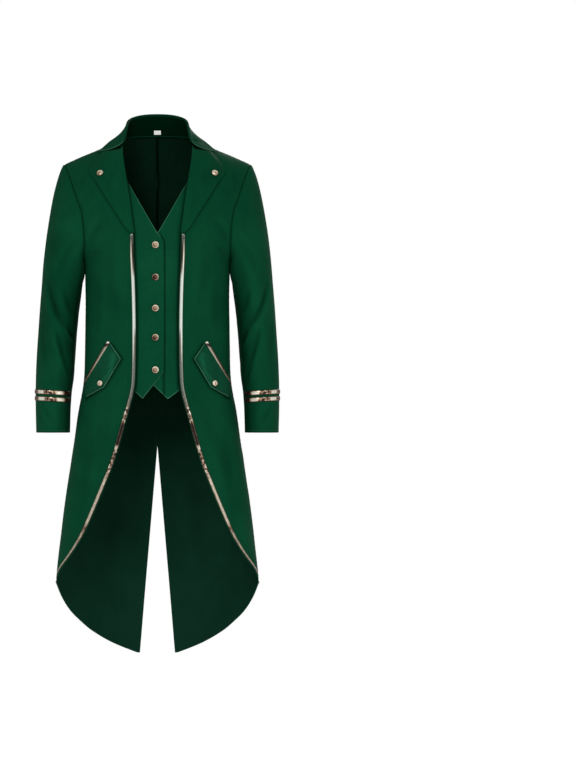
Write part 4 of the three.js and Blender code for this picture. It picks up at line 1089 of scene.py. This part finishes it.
def vest_panel(side):
    hem_x, hem_z = np.array(VEST_HEM[side], float).T
    corners = (hem_x[0] - hem_x) / (hem_x[0] - hem_x[-1])
    u = np.unique(np.round(np.concatenate([spaced(40, (0.008, 0.02, 0.035)), corners]), 5))[None, :]
    z = np.linspace(VEST_TOP, VEST_FLARE, 120)[:, None]
    x = lerp(curve(VEST_SIDE)(z), curve(VEST_NECK)(z), u)
    low_x = lerp(hem_x[0], hem_x[-1], u)
    low_z = np.interp(-low_x, -hem_x, hem_z)
    fan = np.concatenate([np.linspace(0, 0.94, 18)[1:], [0.975, 1]])[:, None]
    x = np.concatenate([x, lerp(x[-1:], low_x, fan)])
    z = np.concatenate([z + 0 * u, lerp(VEST_FLARE, low_z, fan)])
    points, normals = body_at("front", x, z)
    deep = lerp(VEST_SEWN, VEST_INSET[side], np.sin(np.minimum(1, u * 1.6) * math.pi / 2))
    bend = unevenness(x, z, 1.0, 60 + len(side))
    for height in VEST_BUTTONS:
        bend += creases(x, z, [
            (4, height - 3, 46, height - 9, 3, 5, 0.6), (2, height - 12, 52, height - 30, 4, 7, 0.5)])
    bend *= np.clip(lengths(points, 1)[:, -1:] - lengths(points, 1), 0, 14) / 14
    # painted shadow along where the front's edge lies over the waistcoat
    shade = folds_shade(bend, 0.1) * (1 - 0.7 * rising(x - front_edge(z) + 7, 5))
    if side == "left":                # the other panel's edge lies over this one
        over = x + curve(VEST_NECK)(z) - 1.2
        below = rising(OVERLAP_FROM - z, 8)
        bend -= 1.8 * near(over, 5) * below
        # painted shadow of the other panel's edge
        shade *= 1 - 0.7 * (near(over, 2.6) * below)
    # painted highlight on the rim, but not on the middle edge below the V; the other side darker, painted
    # shade
    return shell(
        f"vest_{side}", points, normals, (VEST_OUT, SHADED_CLOTH_INSIDE, HIGHLIGHT_CLOTH_RIM), bend - deep - VEST_CLOTH,
        VEST_CLOTH, side == "right", 0.5, (shade, 0.6), (z > -236) | (z < -560) | (u < 0.5))


# ---------------------------------------------------------------- trims and bands


def dome(share, thick, edge=0.35):
    """Thickness across a band: thin at its edges and full in the middle."""
    return thick * (edge + (1 - edge) * np.sqrt(np.clip(1 - (2 * share - 1) ** 2, 0, 1)))


def band(name, face, line, normals, widths, inward, thick=1.7, rest=REST, seed=1):
    """A domed metallic band beside a line of spots, on the side that inward points to."""
    run = np.gradient(line, axis=0)
    across = unit(np.cross(run, normals))
    across *= np.where(np.sum(across * inward, axis=-1) < 0, -1, 1)[:, None]
    share = spaced(12, (0.03, 0.07))[None, :]
    offsets = lerp(0.3, np.asarray(widths)[:, None], share)
    points, out = body_near(face, line[:, None] + across[:, None] * offsets[..., None])
    return band_pair(name, points, out, share, dome(share, thick), rest, seed)


def foil_map(points, share):
    """A band's map: the share of the way across it, and the distance along it."""
    return np.stack([share / MM + 0 * points[..., 0], lengths(points, 0)], axis=-1)


def band_pair(name, points, normals, share, thick, rest, seed):
    along = lengths(points, 0)
    crinkle = unevenness(along * 9, lengths(points, 1) * 14, 0.18, seed)
    return [
        shell(f"{name}_{side}", points, normals, (FOIL[name],), rest, thick + crinkle * (thick > 1.2),
              mirror, 0.3, uv=foil_map(points, share))
        for side, mirror in SIDES
    ]


TRIM_TOP, TRIM_LOW = -233.0, -1043.0
TAPER_FROM = -930.0


def make_front_trim():
    z = np.concatenate([np.linspace(TRIM_TOP, -600, 130), np.linspace(-603, TRIM_LOW, 190)])
    line, normals = body_at("front", front_edge(z), z)
    width = TRIM_WIDTH * np.clip(1 - 0.45 * (TAPER_FROM - z) / (TAPER_FROM - TRIM_LOW), 0.55, 1)
    width *= np.clip(0.72 + (TRIM_TOP - z) / 12, 0, 1)
    return band("trim_front", "front", line, normals, width, [1, 0, 0.6], thick=1.9, seed=70)


def make_hem_trim():
    share = np.linspace(0.04, 0.968, 240)
    angle, z = hem_line(share)
    line, normals = body_round("back", angle, z)
    width = HEM_TRIM * np.clip((1.0 - share) / 0.12, 0.3, 1)
    return band("trim_hem", "back", line, normals, width, [0, 0, 1], thick=1.3, seed=71)


def make_vent_trim():
    z = np.linspace(-719, -1226, 230)
    line, normals = body_at("back", vent_edge(z), z)
    return band("trim_vent", "back", line, normals, np.linspace(10.7, HEM_TRIM, len(z)), [1, 0, 0], seed=72)


CAP_TOP, CAP_LOW = -698, -718


def make_vent_cap():
    z = np.linspace(CAP_TOP, CAP_LOW, 12)[:, None]
    half = lerp(15.5, 10.5, (z - CAP_TOP) / (CAP_LOW - CAP_TOP))
    share = spaced(20, (0.02, 0.05))[None, :]
    points, normals = body_at("back", lerp(-half, half, share), z)
    edge = np.minimum(
        np.minimum(share, 1 - share) * 2 * half, np.minimum(CAP_TOP - z, z - CAP_LOW) + 0 * half)
    thick = 1.0 + 0.7 * near(edge - 1.6, 1.4) + 0 * points[..., 0]
    return shell("vent_cap", points, normals, (FOIL["vent_cap"],), REST + 1.5, thick, False, 0.3,
                 uv=foil_map(points, share))


def make_cuff_bands():
    for k, height in enumerate(CUFF_BANDS):
        columns = lerp(HIND_SEAM - SLEEVE_STEPS + 0.08, FORE_SEAM - 0.08, spaced(120, (0.004,)))[:, None]
        inside = (1 - np.cos(turn_of(columns))) / 2
        share = spaced(12, (0.03, 0.07))[None, :]
        z = height - BAND_DROP * inside + (0.5 - share) * BAND_WIDTH
        points, normals = sleeve_spot(columns, z)
        thick = dome(share, 1.5, 0.5) + 0 * columns
        yield from band_pair(f"cuff_band_{k + 1}", points, normals, share, thick, REST, 73 + k)


# ---------------------------------------------------------------- pockets

POCKET_TOP = [(112, -492.5), (171, -590.5)]     # distance from the middle, height
# share of the way round from the centre front to the side seam, height
FLAP_LOW = [(0.321, -530), (0.4, -564), (0.475, -597), (0.59, -611), (0.691, -620)]
POCKET_TRIM, FLAP_GAP, FLAP_LIFT, FLAP_CLOTH = 9.0, 0.6, 2.2, 1.8
DOWN_FRONT = unit(np.array([-0.6, -0.3, -1]))


def pocket_line(t):
    (x0, z0), (x1, z1) = POCKET_TOP
    return body_at("front", lerp(x0, x1, t), lerp(z0, z1, t))


def flap_low(t):
    around, height = np.array(FLAP_LOW, float).T
    place = np.linspace(0, 1, len(FLAP_LOW))
    return body_round("front", np.interp(t, place, around) * math.pi / 2, np.interp(t, place, height))


def make_flap_trim():
    line, normals = pocket_line(np.linspace(0, 1, 90))
    ends = np.clip(np.sin(np.linspace(0.12, math.pi - 0.12, 90)) * 6, 0, 1) ** 0.5
    return band("flap_trim", "front", line, normals, POCKET_TRIM * (0.6 + 0.4 * ends), -DOWN_FRONT,
                thick=2.6, rest=REST_HIP, seed=76)


def flap_sheet():
    t = np.unique(np.round(np.concatenate([spaced(36, (0.01, 0.03)), [0.488, 0.5, 0.512]]), 5))
    down = spaced(30, (0.012, 0.03))[:, None]
    top = pocket_line(t)[0] + DOWN_FRONT * FLAP_GAP
    low = flap_low(t)[0]
    points, normals = body_near("front", lerp(top[None], low[None], down[..., None]))
    edge = np.minimum(np.minimum(lengths(points, 1), lengths(points, 1)[:, -1:] - lengths(points, 1)),
                      lengths(points, 0)[-1:] - lengths(points, 0))
    return points, normals, edge


STITCH_INSET = 4.2
FLAP_CREASES = [(112, -520, 138, -590, 5, 7, 0.9), (140, -540, 128, -600, -4, 6, 0.7)]
# line of a painted highlight down a flap
FLAP_HIGHLIGHT_LINE = [(104, -522), (112, -560), (126, -588)]     # line of the highlight down a flap


def make_flaps():
    points, normals, edge = flap_sheet()
    x, z = points[..., 0], points[..., 2]
    puff = 1.5 * rising(edge, 11) ** 0.7 - 0.6 * near(edge - STITCH_INSET, 1.3)
    for side, mirror in SIDES:
        wave = unevenness(x, z, 1.0, 80 + mirror) * rising(edge, 10) + creases(x, z, FLAP_CREASES)
        lift = FLAP_LIFT + puff + wave * rising(lengths(points, 0), 12)
        # painted shade along the stitching and near the edges, a painted highlight down the middle, the
        # other side darker
        shade = folds_shade(wave, 0.1) * (1 - 0.22 * near(edge - STITCH_INSET, 1.4))
        flap_highlight = near(off_line(x, z, FLAP_HIGHLIGHT_LINE), 8)
        flap_highlight = flap_highlight * (1 + 0.5 * np.sin(x / 3.1 + z / 5.3) * np.sin(z / 7.9))
        shade = shade * (1 + 0.5 * flap_highlight) * (1 - 0.2 * near(edge, 6))
        yield shell(
            f"flap_{side}", points, normals, (FLAP_OUT, SHADED_CLOTH_INSIDE, HIGHLIGHT_CLOTH_RIM), lift, FLAP_CLOTH, mirror, 0.5,
            (shade, 0.6), lengths(points, 0) > 3)


# ---------------------------------------------------------------- half-belt tab, label, buttons

TAB_END, TAB_STRAIGHT = 100, 80       # how far it reaches, and where its ends begin to slant
TAB_TOP, TAB_LOW, END_TOP, END_LOW = -420, -466, -436, -456
# distance from the middle, upper and lower edge
TAB = [
    (-TAB_END, END_TOP, END_LOW), (-TAB_STRAIGHT, TAB_TOP, TAB_LOW), (TAB_STRAIGHT, TAB_TOP, TAB_LOW),
    (TAB_END, END_TOP, END_LOW),
]


def tab_sheet():
    x = np.unique(np.concatenate([
        np.linspace(-TAB_STRAIGHT, TAB_STRAIGHT, 60), np.linspace(-TAB_END, -TAB_STRAIGHT, 9),
        np.linspace(TAB_STRAIGHT, TAB_END, 9),
        [-99.2, 99.2, -80.6, -79.4, 79.4, 80.6]]))[None, :]
    xs, tops, lows = np.array(TAB, float).T
    z = lerp(np.interp(x, xs, tops), np.interp(x, xs, lows), spaced(16, (0.015, 0.04))[:, None])
    return *body_at("back", x, z), x, z


def tab_edge(x, z):
    """Distance in from the nearest edge of the tab."""
    slant = (TAB_END - np.abs(x)) * 0.62 + np.minimum(END_TOP - z, z - END_LOW) * 0.78
    return np.minimum(np.minimum(TAB_TOP - z, z - TAB_LOW), np.minimum(TAB_END - np.abs(x), slant))


def make_tab():
    points, normals, x, z = tab_sheet()
    edge = tab_edge(x, z)
    puff = 0.4 * rising(edge, 8) - 0.3 * near(edge - STITCH_INSET, 1.3)
    wave = unevenness(x, z, 0.6, 90)
    return shell("back_tab", points, normals, (CLOTH_OUT, SHADED_CLOTH_INSIDE), 1.0 + puff + wave, CLOTH, False, 0.5)


def make_label():
    """Blank, on the inner face of the collar stand."""
    half, _ = collar_profile()
    x = lerp(-LABEL_WIDE / 2, LABEL_WIDE / 2, spaced(10, (0.02,)))[None, :]
    z = lerp(LABEL_HIGH, LABEL_LOW, spaced(8, (0.03,)))[:, None]
    stand = half[:16, 0]
    y = np.interp(z, stand[:, 2], stand[:, 1]) - 1.0 - (x / 22) ** 2 * 1.5 + 0 * x
    points = np.stack([x + 0 * z, y, z + 0 * x], axis=-1)
    normals = np.zeros_like(points) + [0, -1, 0]
    curl = 0.5 * (np.abs(x) / 8) ** 3 * (0.4 + (LABEL_HIGH - z) / 11)
    return shell("label", points, normals, (LABEL_CLOTH,), 0.35 + curl, 0.5, False, 0.4)


BUTTON_HEIGHT, BUTTON_SIDES = 4.0, 40
BUTTON_RADIUS = {"vest": 8.2, "lapel": 8.0, "tab": 8.2, "flap": 6.8, "cuff": 7.0}
# radius and height as shares, from the middle of the face to the back
BUTTON_PROFILE = [
    (0, 0.98), (0.12, 0.97), (0.24, 0.9), (0.36, 0.78), (0.46, 0.62), (0.53, 0.47), (0.6, 0.41),
    (0.68, 0.45), (0.74, 0.6), (0.8, 0.76), (0.87, 0.82), (0.93, 0.78), (0.98, 0.66), (1, 0.5), (0.99, 0.3),
    (0.94, 0.14), (0.86, 0.06), (0.4, 0.02), (0, 0),
]


def button(name, spot, radius, lift, look, mirror=False):
    """A pressed metal button: a raised ring round a sunk middle with a small dome."""
    point, normal = (np.asarray(part, float) for part in spot)
    side = unit(np.cross(normal, [0, 0.2, 1.0]))
    up = np.cross(normal, side)
    turn = np.linspace(0, 2 * math.pi, BUTTON_SIDES, endpoint=False)
    share, height = np.array(BUTTON_PROFILE).T
    ring = np.cos(turn)[:, None] * side + np.sin(turn)[:, None] * up
    points = (point + normal * (lift + height[:, None, None] * BUTTON_HEIGHT)
              + ring[None] * share[:, None, None] * radius)
    if mirror:
        points = points * FLIP
    i, j = np.mgrid[0:len(share) - 1, 0:BUTTON_SIDES]
    after, row, below = (j + 1) % BUTTON_SIDES, i * BUTTON_SIDES, (i + 1) * BUTTON_SIDES
    faces = np.stack([k.ravel() for k in (row + j, row + after, below + after, below + j)], axis=-1)
    uv = (share[:, None, None] * np.stack([np.cos(turn), np.sin(turn)], axis=-1)).reshape(-1, 2) / MM
    return link(name, points.reshape(-1, 3), faces, uv, (BUTTON_METAL[look],))


CUFF_BUTTONS, CUFF_BUTTON_COLUMN = (-640, -662, -684), 16.3
ON_PATCH = 3 * REST + CLOTH


def make_buttons():
    spots = {}
    for k, z in enumerate(VEST_BUTTONS):
        lift = 2 * REST - VEST_INSET["right"]
        spots[f"vest_button_{k + 1}"] = (
            body_at("front", VEST_BUTTON_X, z), BUTTON_RADIUS["vest"], lift, "bronze", True)
    pairs = {
        "lapel_button": (body_at("front", 134.5, -92.5), "lapel", ON_PATCH + LAPEL_ROLL),
        "flap_button": (body_at("front", 132.5, -588.5), "flap", REST_HIP + REST + CLOTH + FLAP_CLOTH),
        "tab_button": (body_at("back", 80.0, -441.0), "tab", ON_PATCH + REST + 0.6),
        **{f"cuff_button_{k + 1}": (sleeve_spot(CUFF_BUTTON_COLUMN, np.array(float(z))), "cuff", 2 * REST)
           for k, z in enumerate(CUFF_BUTTONS)},
    }
    for name, (spot, kind, lift) in pairs.items():
        look = {"lapel": "cream", "flap": "cream", "tab": "copper", "cuff": "bronze"}[kind]
        spots[f"{name}_left"] = (spot, BUTTON_RADIUS[kind], lift, look, False)
        spots[f"{name}_right"] = (spot, BUTTON_RADIUS[kind], lift, look, True)
    return {name: button(name, *rest) for name, rest in spots.items()}


# ---------------------------------------------------------------- stitches

STITCH_PITCH, STITCH_LONG, STITCH_THICK, STITCH_SIDES = 3.4, 2.4, 0.5, 6


def stitch_row(path, normals, lift):
    """Points and faces of a row of small stitches sunk into the cloth along a path."""
    step = np.concatenate([[0], np.cumsum(np.linalg.norm(np.diff(path, axis=0), axis=-1))])
    starts = np.arange(STITCH_PITCH / 2, step[-1] - STITCH_LONG, STITCH_PITCH)
    place = np.concatenate([starts, starts + STITCH_LONG])
    at = np.stack([np.interp(place, step, path[:, c]) for c in range(3)], axis=-1)
    out = unit(np.stack([np.interp(place, step, normals[:, c]) for c in range(3)], axis=-1))
    n = len(starts)
    first, last = at[:n], at[n:]
    up = unit(out[:n] + out[n:])
    run = unit(last - first)
    side = np.cross(up, run)
    shares = [(0.0, 0.25, -0.35), (0.2, 0.9, 0.35), (0.8, 0.9, 0.35), (1.0, 0.25, -0.35)]
    points = []
    for share, wide, high in shares:
        middle = lerp(first, last, share) + up * (lift + high * STITCH_THICK)
        for a in range(STITCH_SIDES):
            turn = a * math.pi / (STITCH_SIDES / 2)
            points.append(middle + (side * math.cos(turn) + up * math.sin(turn)) * wide * STITCH_THICK)
    points = np.stack(points, axis=1)
    faces = []
    for ring in range(0, (len(shares) - 1) * STITCH_SIDES, STITCH_SIDES):
        for a in range(STITCH_SIDES):
            b = (a + 1) % STITCH_SIDES
            faces.append([ring + a, ring + b, ring + STITCH_SIDES + b, ring + STITCH_SIDES + a])
    faces = np.array(faces)[None] + (np.arange(n) * len(shares) * STITCH_SIDES)[:, None, None]
    return points.reshape(-1, 3), faces.reshape(-1, 4)


def stitched(name, rows, material):
    """One mesh of all the stitches on a piece."""
    points, faces, count = [], [], 0
    for path, normals, lift in rows:
        p, f = stitch_row(path, normals, lift)
        points.append(p)
        faces.append(f + count)
        count += len(p)
    points = np.concatenate(points)
    return link(name, points, np.concatenate(faces), points[:, [0, 2]], (material,))


def flap_seam():
    """The stitched line inside the two sides and the lower edge of a pocket flap."""
    def spot(t, down):
        top = pocket_line(t)[0] + DOWN_FRONT * FLAP_GAP
        return body_near("front", lerp(top, flap_low(t)[0], down[:, None]))
    in_t, in_down = 0.045, 0.075
    steps = np.linspace(0, 1, 40)
    t = np.concatenate([
        np.full(40, in_t), lerp(in_t, 1 - in_t, np.linspace(0, 1, 81)), np.full(40, 1 - in_t)])
    down = np.concatenate([
        lerp(0.03, 1 - in_down, steps), np.full(81, 1 - in_down), lerp(1 - in_down, 0.03, steps)])
    return spot(t, down)


def tab_seam():
    """The stitched line inside the whole edge of the tab."""
    end, top, low = TAB_END - STITCH_INSET, TAB_TOP - STITCH_INSET, TAB_LOW + STITCH_INSET
    turn, end_top, end_low = TAB_STRAIGHT + 2, END_TOP - 2, END_LOW + 2
    corners = [(-end, end_top), (-turn, top), (turn, top), (end, end_top),
               (end, end_low), (turn, low), (-turn, low), (-end, end_low), (-end, end_top)]
    place = np.linspace(0, len(corners) - 1, 400)
    x, z = (np.interp(place, np.arange(len(corners)), [c[k] for c in corners]) for k in (0, 1))
    return body_at("back", x, z)


CUFF_SEAM = CUFF_END + 4.5


def make_stitches():
    flap, tab = flap_seam(), tab_seam()
    column = np.linspace(0, SLEEVE_STEPS, 200)
    cuff = sleeve_spot(column, np.full(200, CUFF_SEAM))
    rows = [(*tab, 1.2 + CLOTH + 0.2)]
    for sign in (np.ones(3), FLIP):
        rows.append((flap[0] * sign, flap[1] * sign, FLAP_LIFT + FLAP_CLOTH + 0.6))
        rows.append((cuff[0] * sign, cuff[1] * sign, 0.15))
    return stitched("stitches", rows, THREAD)


# ---------------------------------------------------------------- the coat


def front_calm(x, z):
    """Where a front lies flat, under its lapel and its pocket."""
    lapel = rising(x - lapel_edge(z) - 4, 20)
    return lapel * spot_calm(x, z, 140, -548, 52, 74)


def back_calm(x, z):
    tab = spot_calm(x, z, 0, -443, 112, 34)
    vent = rising(np.hypot(x, np.clip(np.abs(z + 708) - 14, 0, None)), 26)
    return tab * vent


def above_vent(z):
    return rising(z - VENT_TOP, 12)


# lines beside which a front gets a painted shadow
LEAF_EDGE = [(140, -37), (121, -21), (106, -9), (92, -2.5)]
FLAP_EDGE = [(110.7, -496), (85.4, -531.7), (126.1, -596), (168.7, -623.6)]


def front_shading(x, z):
    """Painted shade on the two sides of a front: painted shadows beside the collar's leaf, the lapel's edge
    and the pocket flap, a painted dark wedge under the collar, and a darker inside.
    """
    shade = collar_wedge_shade(x, z)
    for corners, size, width in (
            (LEAF_EDGE, 0.6, 4.5), ([row[2:4] for row in LAPEL[3:]], 0.4, 4.5), (FLAP_EDGE, 0.72, 4.6)):
        shade = shade * (1 - size * near(off_line(x, z, corners), width))
    return shade, 0.8 + 0 * x


TAB_EDGE = [(0, TAB_LOW), (TAB_STRAIGHT, TAB_LOW), (TAB_END, END_LOW), (TAB_END, END_TOP),
            (TAB_STRAIGHT, TAB_TOP), (0, TAB_TOP)]


def back_shading(x, z):
    """How light the two sides of a back are: outside, a painted shadow round the tab; inside, its centre
    seam shows as a dark line, and painted shade makes it darker towards the top.
    """
    wander = 1.2 * np.sin(z / 23) + 0.8 * np.sin(z / 9 + 1)
    line = near(x - 1.5 - wander, 2.4) * rising(z + 520, 200)
    outside = 1 - 0.22 * near(off_line(x, z, TAB_EDGE), 3.2)
    return outside, (1 - 0.8 * line) * lerp(0.85, 1.15, rising(-z - 500, 400))


made = {}


def keep(pieces):
    made.update((piece.name.removesuffix(SHOWN), piece) for piece in pieces)


keep(cloth_panel(
    "front", "front", front_angle, front_z, FRONT_CREASES, 10, 0.0, front_calm, front_shading))
keep(cloth_panel(
    "back", "back", back_angle, back_z, BACK_CREASES, 20, above_vent(back_z), back_calm, back_shading))
keep(sleeve_piece("top_sleeve", HIND_SEAM - SLEEVE_STEPS + 0.02, FORE_SEAM - 0.02, 74, 30))
keep(sleeve_piece("under_sleeve", FORE_SEAM + 0.02, HIND_SEAM - 0.02, 22, 32))
keep(make_lapels())
keep([make_collar(), vest_panel("right"), vest_panel("left")])
for make in (make_front_trim, make_hem_trim, make_vent_trim, make_cuff_bands, make_flap_trim, make_flaps):
    keep(make())
keep([make_vent_cap(), make_tab(), make_label(), *make_buttons().values()])
stitches = make_stitches()

# ---------------------------------------------------------------- pieces attached, and the CAD parts they stand for hidden

SLOTS = {
    "trim_front": "trim", "flap_trim": "trim", "cuff_band": "trim", "vent_cap": "trim", "trim_hem": "edging",
    "trim_vent": "edging", "label": "label",
}
for name, piece in made.items():
    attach(piece, "root")
    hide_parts(*(["collar_stand", "collar_leaf"] if name == "collar" else [name]))
    slot = next((slot for start, slot in SLOTS.items() if name.startswith(start)), "cloth")
    "button" if "_button" in name else slot
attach(stitches, "root")


def cloth_sheet(name):
    """Looks up the size and area a piece of cloth was cut to; nothing more is done with them."""
    flat, area = CUT[name]


for side in ("left", "right"):
    cloth_sheet(f"back_{side}")
    cloth_sheet(f"front_{side}")
    cloth_sheet(f"lapel_{side}")
    cloth_sheet(f"flap_{side}")
    cloth_sheet(f"under_sleeve_{side}")
    cloth_sheet(f"top_sleeve_{side}")
cloth_sheet("vest_left")
cloth_sheet("vest_right")
cloth_sheet("collar")
cloth_sheet("back_tab")

# ---------------------------------------------------------------- camera, light and floor

scene = bpy.context.scene
scene.view_settings.view_transform = "Standard"

FIELD_HEIGHT, CAMERA_AWAY, AIM_Z, COAT_ASIDE = 1.828, 40.0, -0.590, 0.17
FRONT_PLANE = -0.15
camera_data = bpy.data.cameras.new("camera")
camera_data.sensor_width = 36
camera_data.lens = camera_data.sensor_width * CAMERA_AWAY / FIELD_HEIGHT
camera_data.shift_x = COAT_ASIDE
camera_data.clip_end = 400
camera = bpy.data.objects.new("camera", camera_data)
camera.location = (0, FRONT_PLANE - CAMERA_AWAY, AIM_Z)
camera.rotation_euler = (math.radians(90), 0, 0)
scene.collection.objects.link(camera)
scene.camera = camera


def soft_light(name, place, aim, size, power):
    data = bpy.data.lights.new(name, "AREA")
    data.shape, data.size, data.energy = "DISK", size, power
    light = bpy.data.objects.new(name, data)
    light.location = place
    direction = np.array(aim) - np.array(place)
    light.rotation_euler = mathutils.Vector(direction).to_track_quat("-Z", "Y").to_euler()
    scene.collection.objects.link(light)


soft_light("key", (-1.4, -4.6, 2.0), (0, 0, -0.5), 1.8, 108)
soft_light("fill", (2.8, -3.6, 0.6), (0, 0, -0.6), 2.4, 34)
soft_light("back", (1.8, 4.2, 2.0), (0, 0, -0.6), 2.4, 105)

WORLD_LIGHT = 0.42                   # the studio's soft light from all round; it looks white
world = bpy.data.worlds.new("studio")
world.use_nodes = True
background = world.node_tree.nodes["Background"]
background.inputs["Color"].default_value = (1, 1, 1, 1)
seen = world.node_tree.nodes.new("ShaderNodeLightPath").outputs["Is Camera Ray"]
strength = world.node_tree.nodes.new("ShaderNodeMapRange")
strength.inputs["To Min"].default_value, strength.inputs["To Max"].default_value = WORLD_LIGHT, 1.0
world.node_tree.links.new(seen, strength.inputs["Value"])
world.node_tree.links.new(strength.outputs[0], background.inputs["Strength"])
scene.world = world

FLOOR_Z, FLOOR_RADIUS, FLOOR_SIDES = -1.5, 3.2, 96
turns = [2 * math.pi * k / FLOOR_SIDES for k in range(FLOOR_SIDES)]
floor_mesh = bpy.data.meshes.new("floor")
floor_mesh.from_pydata(
    [(FLOOR_RADIUS * math.cos(a), FLOOR_RADIUS * math.sin(a), FLOOR_Z) for a in turns], [],
    [tuple(range(FLOOR_SIDES))])
floor_material, _, _ = new_material(
    "studio_floor", Base_Color=linear(232, 232, 232), Roughness=0.9, Specular_IOR_Level=0.0,
    Emission_Color=(1, 1, 1, 1), Emission_Strength=0.45)
floor_mesh.materials.append(floor_material)
floor = bpy.data.objects.new("floor", floor_mesh)
scene.collection.objects.link(floor)
